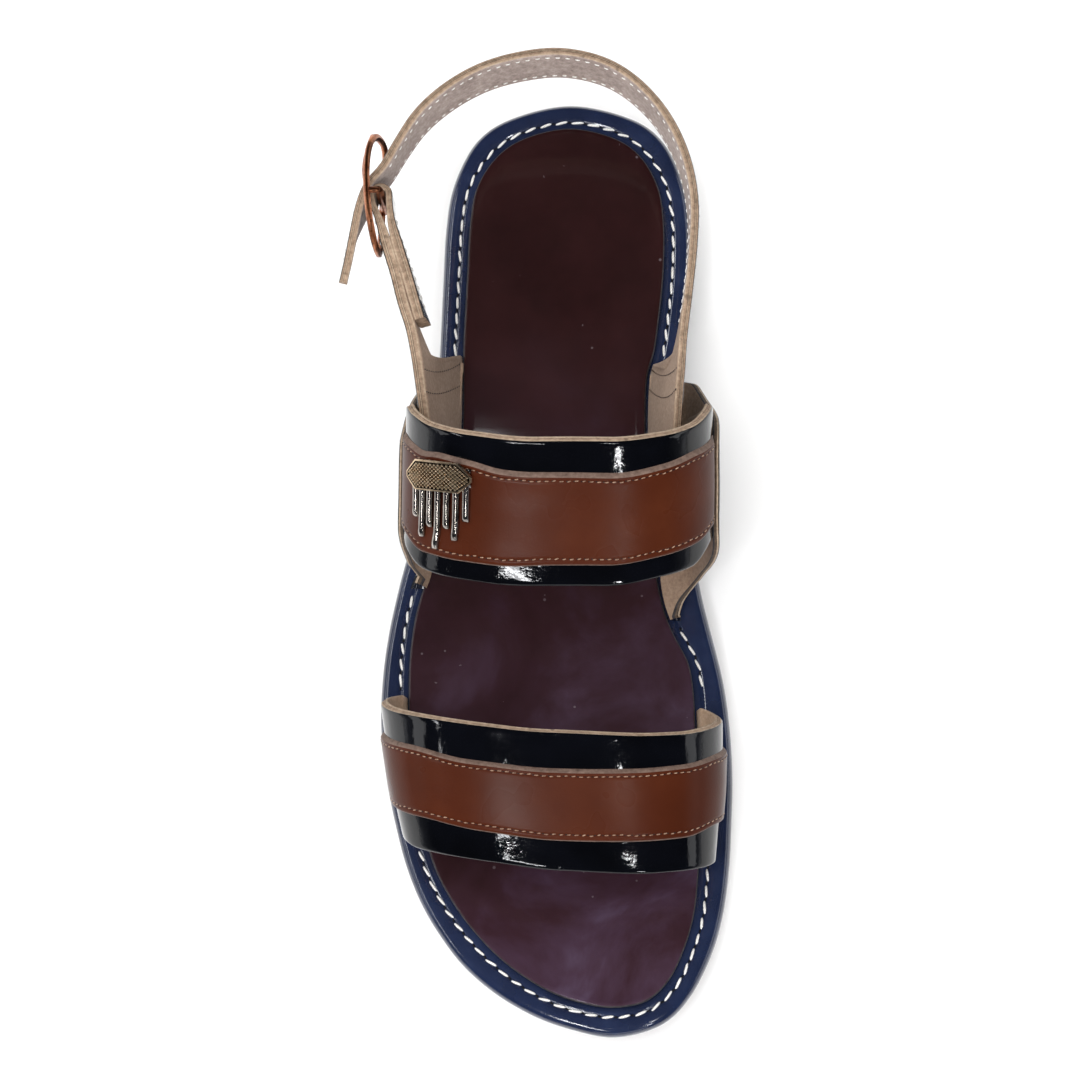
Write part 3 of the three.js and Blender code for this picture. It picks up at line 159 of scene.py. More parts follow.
def catmull(points, ts, loop):
    """Centripetal curve through points at parameters 0..1."""
    P = np.array(points, float)
    n = len(P)
    out = []
    for t in ts:
        u = (n if loop else n - 1) * t
        i = int(math.floor(u))
        w = u - i
        if loop:
            i %= n
        elif w == 0 and i == n - 1:
            i, w = n - 2, 1.0
        p1, p2 = P[i % n], P[(i + 1) % n]
        p0 = P[(i - 1) % n] if (loop or i > 0) else 2 * P[0] - P[1]
        p3 = P[(i + 2) % n] if (loop or i + 2 < n) else 2 * P[-1] - P[-2]
        d0, d1, d2 = (max(np.linalg.norm(b - a) ** .5, 1e-4) for a, b in ((p0, p1), (p1, p2), (p2, p3)))
        t1 = ((p1 - p0) / d0 - (p2 - p0) / (d0 + d1) + (p2 - p1) / d1) * d1
        t2 = ((p2 - p1) / d1 - (p3 - p1) / (d1 + d2) + (p3 - p2) / d2) * d1
        out.append(p1 + t1 * w + (-3 * p1 + 3 * p2 - 2 * t1 - t2) * w * w + (2 * p1 - 2 * p2 + t1 + t2) * w ** 3)
    return np.array(out)


under_z = smooth([r[0] for r in UNDER], [r[1] for r in UNDER])


def rim_z(y):
    return under_z(y) + OUTSOLE + GAP + MIDSOLE


def bed_z(y):
    return rim_z(y) + GAP + INSOLE


class Outline:
    """Closed plan outline, evenly spaced, running toe-ward down the lateral side."""

    def __init__(self, rows, heel, toe, n=1440):
        pts = [heel] + [(r[1], r[0]) for r in rows] + [toe] + [(r[2], r[0]) for r in rows[::-1]]
        p = catmull([(a, b) for a, b in pts], np.arange(n) / n, True)
        q = np.vstack([p, p[:1]])
        s = np.concatenate([[0], np.cumsum(np.linalg.norm(np.diff(q, axis=0), axis=1))])
        u = np.linspace(0, s[-1], n + 1)[:-1]
        self.p = np.stack([np.interp(u, s, q[:, k]) for k in (0, 1)], 1)
        for _ in range(3):
            self.p = (np.roll(self.p, 1, 0) + 2 * self.p + np.roll(self.p, -1, 0)) / 4
        t = np.roll(self.p, -1, 0) - np.roll(self.p, 1, 0)
        t /= np.linalg.norm(t, axis=1)[:, None]
        self.t, self.n, self.length = t, np.stack([t[:, 1], -t[:, 0]], 1), s[-1]
        c = self.p.mean(0)
        if ((self.p - c) * self.n).sum() < 0:
            self.n = -self.n
        i, j = int(np.argmax(self.p[:, 1])), int(np.argmin(self.p[:, 1]))
        a = np.roll(self.p, -i, 0)[: (j - i) % n + 1]
        b = np.roll(self.p, -j, 0)[: (i - j) % n + 1][::-1]
        lat, med = (a, b) if np.interp(0, -a[:, 1], a[:, 0]) < np.interp(0, -b[:, 1], b[:, 0]) else (b, a)
        self.lat = lambda y, c=lat: np.interp(-np.asarray(y, float), -c[:, 1], c[:, 0])
        self.med = lambda y, c=med: np.interp(-np.asarray(y, float), -c[:, 1], c[:, 0])
        self.top, self.bot = self.p[i], self.p[j]

    def offset(self, d):
        """The outline moved outward by d."""
        o = object.__new__(Outline)
        o.p = self.p + self.n * d
        o.n, o.t, o.length = self.n, self.t, self.length
        i, j, n = int(np.argmax(o.p[:, 1])), int(np.argmin(o.p[:, 1])), len(o.p)
        a = np.roll(o.p, -i, 0)[: (j - i) % n + 1]
        b = np.roll(o.p, -j, 0)[: (i - j) % n + 1][::-1]
        a, b = (x[np.concatenate([[True], np.diff(np.minimum.accumulate(x[:, 1])) < 0])] for x in (a, b))
        lat, med = (a, b) if a[len(a) // 2, 0] < b[len(b) // 2, 0] else (b, a)
        o.lat = lambda y, c=lat: np.interp(-np.asarray(y, float), -c[:, 1], c[:, 0])
        o.med = lambda y, c=med: np.interp(-np.asarray(y, float), -c[:, 1], c[:, 0])
        o.top, o.bot = o.p[i], o.p[j]
        return o


sole_line, bed_line = Outline(SOLE, SOLE_HEEL, SOLE_TOE), Outline(BED, BED_HEEL, BED_TOE)

LB, MB, LA, MA, BH, TP = (table(LAST, c) for c in range(1, 7))


def foot_angle(y, side):
    cx = (LB(y) + MB(y)) / 2
    belly = np.where(side < 0, cx - LB(y), MB(y) - cx)
    base = np.where(side < 0, cx - LA(y), MA(y) - cx)
    return np.arccos(np.clip(base / belly, .05, .995))


def last_point(y, a):
    y, a = np.broadcast_arrays(np.asarray(y, float), np.asarray(a, float))
    lb, mb, h, top, z0 = LB(y), MB(y), BH(y), TP(y), bed_z(y)
    cx, half, t, e = (lb + mb) / 2, (mb - lb) / 2, np.radians(a), 2 / CROWN
    c, s = np.cos(t), np.sin(t)
    up = (a >= 0) & (a <= 180)
    ux, uz = cx - half * np.sign(c) * np.abs(c) ** e, z0 + h + (top - h) * np.abs(s) ** e
    side = np.where(a < 0, -1., 1.)
    foot = foot_angle(y, side)
    d = np.minimum(np.where(a < 0, -t, t - math.pi), foot)
    dx, dz = cx + side * half * np.cos(d), z0 + h * (1 - np.sin(d) / np.sin(foot))
    return np.stack([np.where(up, ux, dx), y, np.where(up, uz, dz)], -1)


def unit(v):
    return v / np.maximum(np.linalg.norm(v, axis=-1, keepdims=True), 1e-9)


def last_normal(y, a, da=2.5, dy=1.0):
    y, a = np.broadcast_arrays(np.asarray(y, float), np.asarray(a, float))
    lo, hi = -np.degrees(foot_angle(y, -1)), 180 + np.degrees(foot_angle(y, 1))
    u = last_point(y, np.clip(a + da, lo, hi)) - last_point(y, np.clip(a - da, lo, hi))
    return unit(np.cross(u, last_point(y + dy, a) - last_point(y - dy, a)))


def on_last(y, a, off):
    off = np.asarray(off, float)
    return last_point(y, a) + last_normal(y, a) * off[..., None]


# ------------------------------------------------------------------ meshes
def make(name, verts, faces, mats, fmat=None, angle=38, node=None, slot=None):
    me = bpy.data.meshes.new(name)
    v = (np.asarray(verts, float).reshape(-1, 3) + SHIFT) * MM
    me.from_pydata(v.tolist(), [], [tuple(int(i) for i in f) for f in faces])
    for m in mats:
        me.materials.append(m)
    if fmat is not None:
        me.polygons.foreach_set("material_index", np.asarray(fmat, dtype=np.int32))
    bm = bmesh.new()
    bm.from_mesh(me)
    bmesh.ops.remove_doubles(bm, verts=bm.verts, dist=1e-6)
    bmesh.ops.dissolve_degenerate(bm, edges=bm.edges, dist=1e-7)
    bmesh.ops.recalc_face_normals(bm, faces=bm.faces)
    bm.to_mesh(me)
    bm.free()
    me.shade_smooth()
    me.set_sharp_from_angle(angle=math.radians(angle))
    ob = bpy.data.objects.new(name, me)
    bpy.context.scene.collection.objects.link(ob)
    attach(ob, "root")
    if node:
        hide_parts(node)
    return ob


def loop_sweep(P, kmat, cap=True):
    """Faces of rows of closed loops P (rows, loop, 3); kmat gives the material after each loop point."""
    nu, nk = P.shape[:2]
    i, k = np.meshgrid(np.arange(nu - 1), np.arange(nk), indexing='ij')
    k2 = (k + 1) % nk
    F = np.stack([i * nk + k, (i + 1) * nk + k, (i + 1) * nk + k2, i * nk + k2], -1).reshape(-1, 4).tolist()
    M = np.broadcast_to(np.array(kmat)[None, :], (nu - 1, nk)).reshape(-1).tolist()
    if cap:
        F.append(list(range(nk))[::-1])
        F.append([(nu - 1) * nk + j for j in range(nk)])
        M += [kmat[0], kmat[0]]
    return P.reshape(-1, 3), F, M


def ring_sweep(P, kmat):
    """The same, closed in both directions."""
    nu, nk = P.shape[:2]
    i, k = np.meshgrid(np.arange(nu), np.arange(nk), indexing='ij')
    i2, k2 = (i + 1) % nu, (k + 1) % nk
    F = np.stack([i * nk + k, i2 * nk + k, i2 * nk + k2, i * nk + k2], -1).reshape(-1, 4).tolist()
    M = np.broadcast_to(np.array(kmat)[None, :], (nu, nk)).reshape(-1).tolist()
    return P.reshape(-1, 3), F, M


def stitches(name, at, along, up, length, width, height, mat, tilt=0.0, seg=6, rings=5, slot=None):
    """A row of waxed thread stitches: soft spindles lying on the leather."""
    V, F = [], []
    across = unit(np.cross(up, along))
    th = 2 * np.pi * np.arange(seg) / seg
    for n in range(len(at)):
        a = tilt + rng.normal(0, .07)
        L = length * (1 + rng.normal(0, .05))
        t = along[n] * math.cos(a) + across[n] * math.sin(a)
        c = across[n] * math.cos(a) - along[n] * math.sin(a)
        base = len(V)
        V.append(at[n] - t * L / 2 - up[n] * height * .55)
        for r in range(1, rings):
            f = -1 + 2 * r / rings
            k = (1 - abs(f) ** 2.6) ** .5
            o = at[n] + t * L / 2 * f - up[n] * height * .5 * abs(f) ** 3
            for w in th:
                V.append(o + c * math.cos(w) * width / 2 * k + up[n] * math.sin(w) * height / 2 * k)
        V.append(at[n] + t * L / 2 - up[n] * height * .55)
        for j in range(seg):
            F.append((base, base + 1 + (j + 1) % seg, base + 1 + j))
        for r in range(rings - 2):
            for j in range(seg):
                p, q = base + 1 + r * seg + j, base + 1 + r * seg + (j + 1) % seg
                F.append((p, q, q + seg, p + seg))
        e, last = base + 1 + (rings - 1) * seg, base + 1 + (rings - 2) * seg
        for j in range(seg):
            F.append((last + j, last + (j + 1) % seg, e))
    return make(name, V, F, [mat], angle=180, slot=slot)


def along_path(p, pitch, start=0.0, closed=False):
    """Even stations on a polyline: indices as floats."""
    q = np.vstack([p, p[:1]]) if closed else p
    s = np.concatenate([[0], np.cumsum(np.linalg.norm(np.diff(q, axis=0), axis=1))])
    n = max(1, int(round((s[-1] - start) / pitch)))
    u = start + (np.arange(n) + .5) * (s[-1] - start) / n
    return np.interp(u, s, np.arange(len(q)))


def sample(p, idx):
    p = np.asarray(p)
    i = np.clip(np.floor(idx).astype(int), 0, len(p) - 1)
    j, w = (i + 1) % len(p), (idx - i)[:, None]
    return p[i] * (1 - w) + p[j] * w


# ------------------------------------------------------------------ materials
def material(name, base, rough, metal=0.0, coat=0.0, coat_rough=0.03, sheen=0.0, ior=1.5, spec=0.5):
    m = bpy.data.materials.new(name)
    m.use_nodes = True
    nt = m.node_tree
    b = nt.nodes["Principled BSDF"]
    b.inputs["Base Color"].default_value = (*base, 1)
    b.inputs["Roughness"].default_value = rough
    b.inputs["Metallic"].default_value = metal
    b.inputs["Coat Weight"].default_value = coat
    b.inputs["Coat Roughness"].default_value = coat_rough
    b.inputs["Sheen Weight"].default_value = sheen
    b.inputs["IOR"].default_value = ior
    b.inputs["Specular IOR Level"].default_value = spec
    return m, nt, b


def coords(nt, scale=(1, 1, 1), rot=(0, 0, 0)):
    tc = nt.nodes.new("ShaderNodeTexCoord")
    mp = nt.nodes.new("ShaderNodeMapping")
    mp.inputs["Scale"].default_value = scale
    mp.inputs["Rotation"].default_value = rot
    nt.links.new(tc.outputs["Object"], mp.inputs["Vector"])
    return mp.outputs["Vector"]


def noise(nt, vec, scale, detail=3.0, rough=0.5, dist=0.0):
    n = nt.nodes.new("ShaderNodeTexNoise")
    n.inputs["Scale"].default_value = scale
    n.inputs["Detail"].default_value = detail
    n.inputs["Roughness"].default_value = rough
    n.inputs["Distortion"].default_value = dist
    nt.links.new(vec, n.inputs["Vector"])
    return n.outputs["Fac"]


def ramp(nt, fac, stops):
    r = nt.nodes.new("ShaderNodeValToRGB")
    e = r.color_ramp.elements
    e[0].position, e[0].color = stops[0][0], (*stops[0][1], 1)
    e[1].position, e[1].color = stops[-1][0], (*stops[-1][1], 1)
    for p, c in stops[1:-1]:
        k = e.new(p)
        k.color = (*c, 1)
    nt.links.new(fac, r.inputs["Fac"])
    return r.outputs["Color"]


def mix(nt, fac, a, b, kind='MIX'):
    m = nt.nodes.new("ShaderNodeMix")
    m.data_type, m.blend_type = 'RGBA', kind
    for sock, v in ((m.inputs[0], fac), (m.inputs[6], a), (m.inputs[7], b)):
        if isinstance(v, (int, float)):
            sock.default_value = v
        elif isinstance(v, tuple):
            sock.default_value = (*v, 1)
        else:
            nt.links.new(v, sock)
    return m.outputs[2]


def bump(nt, b, height, dist, strength=1.0, after=None):
    k = nt.nodes.new("ShaderNodeBump")
    k.inputs["Strength"].default_value = strength
    k.inputs["Distance"].default_value = dist
    nt.links.new(height, k.inputs["Height"])
    if after is not None:
        nt.links.new(after, k.inputs["Normal"])
    nt.links.new(k.outputs["Normal"], b.inputs["Normal"])
    return k.outputs["Normal"]


def math_node(nt, op, a, b=None, c=None, clamp=False):
    n = nt.nodes.new("ShaderNodeMath")
    n.operation, n.use_clamp = op, clamp
    for i, v in enumerate((a, b, c)):
        if v is None:
            continue
        if isinstance(v, (int, float)):
            n.inputs[i].default_value = v
        else:
            nt.links.new(v, n.inputs[i])
    return n.outputs[0]


def to_rough(nt, b, fac, lo, hi):
    r = nt.nodes.new("ShaderNodeMapRange")
    r.inputs["To Min"].default_value, r.inputs["To Max"].default_value = lo, hi
    nt.links.new(fac, r.inputs["Value"])
    nt.links.new(r.outputs["Result"], b.inputs["Roughness"])


def patent():
    m, nt, b = material("black_patent", (.004, .005, .009), .05, coat=.2, coat_rough=.02, spec=.3)
    v = coords(nt)
    cloud = noise(nt, v, 60, 2)
    nt.links.new(ramp(nt, cloud, [(.3, (.0010, .0011, .0016)), (.7, (.0020, .0023, .0038))]), b.inputs["Base Color"])
    to_rough(nt, b, noise(nt, v, 220, 3), .03, .09)
    wave = noise(nt, v, 95, 2, .45)
    n1 = bump(nt, b, wave, .0010, .28)
    bump(nt, b, noise(nt, v, 900, 2), .00005, .6, n1)
    return m


def gloss_brown():
    m, nt, b = material("gloss_brown", (.085, .022, .011), .3, coat=.0, coat_rough=.10, spec=.13)
    v = coords(nt)
    cloud = noise(nt, v, 34, 4, .6)
    col = ramp(nt, cloud, [(.05, (.034, .0076, .0030)), (.5, (.053, .0118, .0046)), (.95, (.080, .0200, .0080))])
    nt.links.new(col, b.inputs["Base Color"])
    to_rough(nt, b, noise(nt, v, 60, 2), .24, .32)
    n1 = bump(nt, b, noise(nt, v, 60, 2, .45), .0006, .25)
    bump(nt, b, noise(nt, v, 1400, 2), .00004, .7, n1)
    return m


def navy():
    m, nt, b = material("navy_rim", (.012, .016, .042), .2, coat=.7, coat_rough=.04)
    v = coords(nt)
    col = ramp(nt, noise(nt, v, 55, 4, .6), [(.3, (.0078, .0120, .0330)), (.55, (.0110, .0175, .0480)), (.78, (.0180, .0280, .0700))])
    nt.links.new(col, b.inputs["Base Color"])
    to_rough(nt, b, noise(nt, v, 130, 4), .10, .28)
    n1 = bump(nt, b, noise(nt, v, 110, 2), .0004, .3)
    bump(nt, b, noise(nt, v, 1500, 2), .00005, .6, n1)
    return m


def oxblood():
    m, nt, b = material("oxblood_footbed", (.02, .007, .008), .3, coat=.3, coat_rough=.05, spec=.25)
    v = coords(nt)
    tc = nt.nodes.new("ShaderNodeTexCoord")
    sep = nt.nodes.new("ShaderNodeSeparateXYZ")
    nt.links.new(tc.outputs["Object"], sep.inputs[0])
    # darker and redder at the heel; toward the forefoot the leather tone is mixed with lighter purple-blue clouds,
    # which are painted sheen, a reflection painted into the colour
    fore_sheen_blend = nt.nodes.new("ShaderNodeMapRange")
    fore_sheen_blend.interpolation_type = 'SMOOTHSTEP'
    fore_sheen_blend.inputs["From Min"].default_value, fore_sheen_blend.inputs["From Max"].default_value = .085, -.075
    nt.links.new(sep.outputs["Y"], fore_sheen_blend.inputs["Value"])
    heel = ramp(nt, noise(nt, v, 30, 4, .6), [(.3, (.0115, .0028, .0030)), (.7, (.0215, .0054, .0058))])
    # the lighter purple-blue stops of this ramp are painted reflection; the darker stops are the leather's own tone
    fore_tone_and_sheen = ramp(nt, noise(nt, v, 26, 5, .62, .4), [(.32, (.0175, .0052, .0075)), (.50, (.0260, .0092, .0150)),
                                                  (.63, (.0400, .0190, .0350)), (.78, (.068, .044, .078))])
    col = mix(nt, fore_sheen_blend.outputs["Result"], heel, fore_tone_and_sheen)
    # dust and small marks
    dust = nt.nodes.new("ShaderNodeTexVoronoi")
    dust.inputs["Scale"].default_value = 190
    nt.links.new(v, dust.inputs["Vector"])
    spot = math_node(nt, 'LESS_THAN', dust.outputs["Distance"], .085)
    pick = math_node(nt, 'GREATER_THAN', noise(nt, v, 120, 2), .57)
    col = mix(nt, math_node(nt, 'MULTIPLY', math_node(nt, 'MULTIPLY', spot, pick), .22), col, (.32, .27, .30))
    nt.links.new(col, b.inputs["Base Color"])
    to_rough(nt, b, noise(nt, v, 46, 5, .65), .22, .42)
    n1 = bump(nt, b, noise(nt, v, 46, 3), .0010, .35)
    bump(nt, b, noise(nt, v, 1200, 2), .00006, .6, n1)
    return m


def suede(name, lo, mid, hi, scale=900, disp=.0003):
    m, nt, b = material(name, mid, .88, sheen=.08)
    v = coords(nt)
    fine = noise(nt, v, scale, 4, .7)
    big = noise(nt, v, 55, 4, .6)
    c1 = ramp(nt, fine, [(.3, lo), (.5, mid), (.72, hi)])
    col = mix(nt, .35, c1, ramp(nt, big, [(.3, lo), (.7, hi)]))
    nt.links.new(col, b.inputs["Base Color"])
    bump(nt, b, fine, disp, .8)
    return m


def cut_edge(name, lo, hi, line=(.06, .04, .03)):
    """Cut leather: fine layered fibres."""
    m, nt, b = material(name, hi, .75)
    v = coords(nt)
    f = noise(nt, v, 700, 4, .7)
    col = ramp(nt, f, [(.28, lo), (.5, tuple((a + c) / 2 for a, c in zip(lo, hi))), (.7, hi)])
    spots = ramp(nt, noise(nt, v, 260, 2), [(.66, (0, 0, 0)), (.72, (.6, .6, .6))])
    nt.links.new(mix(nt, spots, col, line), b.inputs["Base Color"])
    bump(nt, b, f, .00025, .9)
    return m


def thread(name, lo, hi):
    m, nt, b = material(name, hi, .5, coat=.1)
    v = coords(nt, (1, 1, 1), (0, 0, .7))
    w = nt.nodes.new("ShaderNodeTexWave")
    w.inputs["Scale"].default_value = 480
    w.inputs["Distortion"].default_value = 1.2
    nt.links.new(v, w.inputs["Vector"])
    f = w.outputs["Fac"]
    nt.links.new(mix(nt, .5, ramp(nt, f, [(.1, lo), (.8, hi)]), ramp(nt, noise(nt, v, 300, 3), [(.3, lo), (.7, hi)])),
                 b.inputs["Base Color"])
    bump(nt, b, f, .00015, .6)
    return m


def metal(name, lo, hi, r0, r1, scale=240, tarnish=None):
    m, nt, b = material(name, hi, r0, metal=1.0)
    v = coords(nt)
    col = ramp(nt, noise(nt, v, scale, 4, .6), [(.3, lo), (.65, hi)])
    if tarnish:
        col = mix(nt, ramp(nt, noise(nt, v, scale * 2.3, 3), [(.55, (0, 0, 0)), (.68, (.8, .8, .8))]), col, tarnish)
    nt.links.new(col, b.inputs["Base Color"])
    to_rough(nt, b, noise(nt, v, scale * 1.6, 3), r0, r1)
    bump(nt, b, noise(nt, v, 1600, 2), .000012, .5)
    return m


def dark_sole(name, lo, hi, rough=(.45, .75)):
    m, nt, b = material(name, hi, .6)
    v = coords(nt)
    f = noise(nt, v, 90, 5, .65)
    g = noise(nt, coords(nt, (1, 1, 9)), 260, 3, .6)
    nt.links.new(mix(nt, .5, ramp(nt, f, [(.3, lo), (.7, hi)]), ramp(nt, g, [(.3, lo), (.7, hi)])), b.inputs["Base Color"])
    to_rough(nt, b, f, *rough)
    bump(nt, b, g, .0003, .6)
    return m


M_PATENT = patent()
M_BROWN = gloss_brown()
M_NAVY = navy()
M_OX = oxblood()
M_TAUPE = suede("taupe_suede", (.20, .130, .088), (.31, .210, .145), (.44, .32, .235))
M_TAN = suede("tan_lining", (.30, .195, .120), (.44, .30, .20), (.58, .43, .31))
M_GREY = suede("grey_lining", (.165, .122, .106), (.32, .253, .226), (.52, .435, .395), 620)
M_BEIGE = cut_edge("beige_edge", (.15, .098, .064), (.40, .285, .200))
M_EDGE2 = cut_edge("pale_edge", (.235, .168, .115), (.47, .362, .264))
M_GLUE = cut_edge("glue_line", (.040, .026, .018), (.12, .080, .052))
M_BROWNEDGE = cut_edge("strip_edge", (.075, .045, .035), (.20, .135, .105), (.03, .02, .015))
M_BLACKEDGE = cut_edge("dyed_edge", (.012, .011, .013), (.045, .040, .042), (.005, .005, .006))
M_WAX = thread("waxed_thread", (.62, .60, .56), (.93, .92, .90))
M_CREAM = thread("tan_thread", (.13, .070, .042), (.46, .31, .215))
M_DKTHREAD = thread("dark_thread", (.03, .02, .02), (.09, .06, .045))
# near-black: painted shade of the thread holes, laid on the leather as small dark spindles
M_HOLE_SHADE = cut_edge("thread_hole_shade", (.002, .002, .003), (.006, .006, .009), (.001, .001, .001))
M_COPPER = metal("copper_plating", (.26, .085, .038), (.52, .21, .105), .24, .42, 300, (.10, .030, .014))
M_GOLD = metal("pale_gold", (.48, .35, .22), (.74, .58, .40), .20, .34, 300)
M_GOLDGAP = metal("gold_recess", (.010, .006, .004), (.028, .018, .011), .6, .8, 300)
M_GUN = metal("gunmetal", (.20, .18, .165), (.42, .385, .35), .10, .22, 260)
M_SOLE = dark_sole("outsole_leather", (.030, .022, .018), (.085, .064, .052))
M_HEEL = dark_sole("heel_rubber", (.010, .009, .009), (.028, .025, .024))
M_LIFT = dark_sole("heel_lifts", (.020, .015, .013), (.055, .042, .034), (.28, .5))


# ------------------------------------------------------------------ sole
def ladder(o, n):
    ys = o.top[1] + (o.bot[1] - o.top[1]) * (1 - np.cos(np.pi * np.arange(1, n) / n)) / 2
    return ys, o.lat(ys), o.med(ys)


def stack(name, levels, n, cols, mats, top_mat, bottom_mat, dish=0.0, **kw):
    """Solid from plan outlines at rising levels: (inset, outline, height over the tread, material above)."""
    V, F, M, rings = [], [], [], []
    for inset, line, z, _ in levels:
        o = line.offset(-inset)
        ys, l, r = ladder(o, n)
        ring = [(o.top[0], o.top[1])] + list(zip(l, ys)) + [(o.bot[0], o.bot[1])] + list(zip(r[::-1], ys[::-1]))
        rings.append(range(len(V), len(V) + len(ring)))
        V += [(x, y, float(under_z(y)) + z) for x, y in ring]
    m = len(rings[0])
    for j in range(len(rings) - 1):
        for i in range(m):
            F.append((rings[j][i], rings[j][(i + 1) % m], rings[j + 1][(i + 1) % m], rings[j + 1][i]))
            M.append(levels[j][3])
    for R, mt, dz in ((rings[0], bottom_mat, 0.0), (rings[-1], top_mat, dish)):
        grid = []
        for k in range(1, n):
            a, b = R[k], R[m - k]
            row = [a]
            for c in range(1, cols):
                t = c / cols
                p = [V[a][q] * (1 - t) + V[b][q] * t for q in range(3)]
                p[2] -= dz * (1 - (2 * t - 1) ** 2) * min(1.0, abs(V[a][0] - V[b][0]) / 60)
                row.append(len(V))
                V.append(tuple(p))
            grid.append(row + [b])
        for k in range(n - 2):
            for c in range(cols):
                F.append((grid[k][c], grid[k][c + 1], grid[k + 1][c + 1], grid[k + 1][c]))
                M.append(mt)
        for c in range(cols):
            F.append((R[0], grid[0][c], grid[0][c + 1]))
            F.append((R[n], grid[-1][c + 1], grid[-1][c]))
            M += [mt, mt]
    return make(name, V, F, mats, M, **kw)


stack("outsole_leather", [
    (2.3, sole_line, 0.0, 0), (1.5, sole_line, .12, 0), (1.0, sole_line, .5, 0), (.75, sole_line, 1.2, 0),
    (.62, sole_line, 2.4, 0), (.66, sole_line, 3.5, 0), (.85, sole_line, 4.15, 0), (1.1, sole_line, 4.5, 0)],
    150, 16, [M_SOLE], 0, 0, angle=50, node="outsole", slot="outsole")

M0 = OUTSOLE + GAP


def crossing(p, d, line):
    """Distance from p along d to the closed line."""
    a, b = line, np.roll(line, -1, 0)
    e = b - a
    out = np.empty(len(p))
    for i in range(len(p)):
        w = a - p[i]
        den = d[i, 0] * e[:, 1] - d[i, 1] * e[:, 0]
        den = np.where(np.abs(den) < 1e-9, 1e-9, den)
        t = (w[:, 0] * e[:, 1] - w[:, 1] * e[:, 0]) / den
        u = (w[:, 0] * d[i, 1] - w[:, 1] * d[i, 0]) / den
        ok = (t > 0) & (u >= 0) & (u <= 1)
        out[i] = t[ok].min() if ok.any() else 8.5
    return out


def ring_smooth(v, n):
    for _ in range(n):
        v = (np.roll(v, 1, 0) + 2 * v + np.roll(v, -1, 0)) / 4
    return v


bed_p = bed_line.p[::2]
bed_n = unit(ring_smooth(bed_line.n[::2].copy(), 30))
rim_w = ring_smooth(crossing(bed_p, bed_n, sole_line.p), 2)
PROF = [('i', -3.0, 5.5), ('i', .5, 5.5), ('i', 1.5, 5.5), ('i', 1.95, 5.40), ('i', 2.3, 5.16), ('i', 2.7, 5.04),
        ('i', 3.1, 5.16), ('i', 3.45, 5.40), ('i', 3.9, 5.5), ('o', 3.6, 5.5), ('o', 2.7, 5.42), ('o', 1.9, 5.18),
        ('o', 1.25, 4.82), ('o', .75, 4.36), ('o', .35, 3.75), ('o', .1, 3.1), ('o', 0, 2.4), ('o', .05, 1.5),
        ('o', .35, .75), ('o', .8, .25), ('o', 1.3, 0), ('i', -3.0, 0)]
rows = []
for kind, r, h in PROF:
    d = np.full(len(bed_p), r) if kind == 'i' else np.maximum(rim_w - r, 4.0)
    q = bed_p + bed_n * d[:, None]
    rows.append(np.column_stack([q, under_z(q[:, 1]) + M0 + h]))
V, F, M = ring_sweep(np.stack(rows, 1), [0] * len(PROF))
make("midsole_rim", V, F, [M_NAVY], M, angle=60, node="midsole", slot="painted_rim")

B0 = M0 + MIDSOLE + GAP
stack("footbed", [
    (.25, bed_line, B0, 1), (.05, bed_line, B0 + .3, 1), (0.0, bed_line, B0 + INSOLE - .75, 1),
    (.08, bed_line, B0 + INSOLE - .42, 1), (.34, bed_line, B0 + INSOLE - .18, 0), (.7, bed_line, B0 + INSOLE - .06, 0),
    (1.3, bed_line, B0 + INSOLE, 0)], 170, 22, [M_OX, M_BLACKEDGE], 0, 0, dish=.45, angle=60, node="insole", slot="footbed")


def heel_block():
    breast, hollow, n, nb = 76.0, 4.0, 44, 18
    levels = [(3.1, 0, 0), (2.6, .25, 0), (2.25, .9, 0), (2.1, 2.9, 0), (2.4, 3.06, 0), (2.4, 3.2, 1), (2.0, 3.36, 1),
              (1.95, 5.9, 1), (2.2, 6.02, 1), (2.2, 6.12, 1), (1.9, 6.24, 1), (1.85, 8.7, 1), (2.1, 8.82, 1),
              (2.1, 8.92, 1), (1.8, 9.04, 1), (1.7, HEEL_H - .02, 1)]
    P, M = [], []
    for inset, z, mt in levels:
        o = sole_line.offset(-inset)
        ys = o.top[1] + (breast - o.top[1]) * (1 - np.cos(np.pi / 2 * np.arange(1, n + 1) / n))
        xl, xr = float(o.lat(breast)), float(o.med(breast))
        t = np.arange(1, nb) / nb
        P.append([(o.top[0], o.top[1], z)] + [(x, y, z) for x, y in zip(o.lat(ys), ys)]
                 + [(xl + (xr - xl) * q, breast + hollow * math.sin(math.pi * q), z) for q in t]
                 + [(x, y, z) for x, y in zip(o.med(ys)[::-1], ys[::-1])])
        M.append(mt)
    P = np.array(P)
    V, F, _ = loop_sweep(P, [0] * P.shape[1])
    fm = sum(([mt] * P.shape[1] for mt in M[:-1]), []) + [0, 1]
    make("heel_stack", V, F, [M_HEEL, M_LIFT], fm, angle=40, node="heel_block", slot="heel")


heel_block()

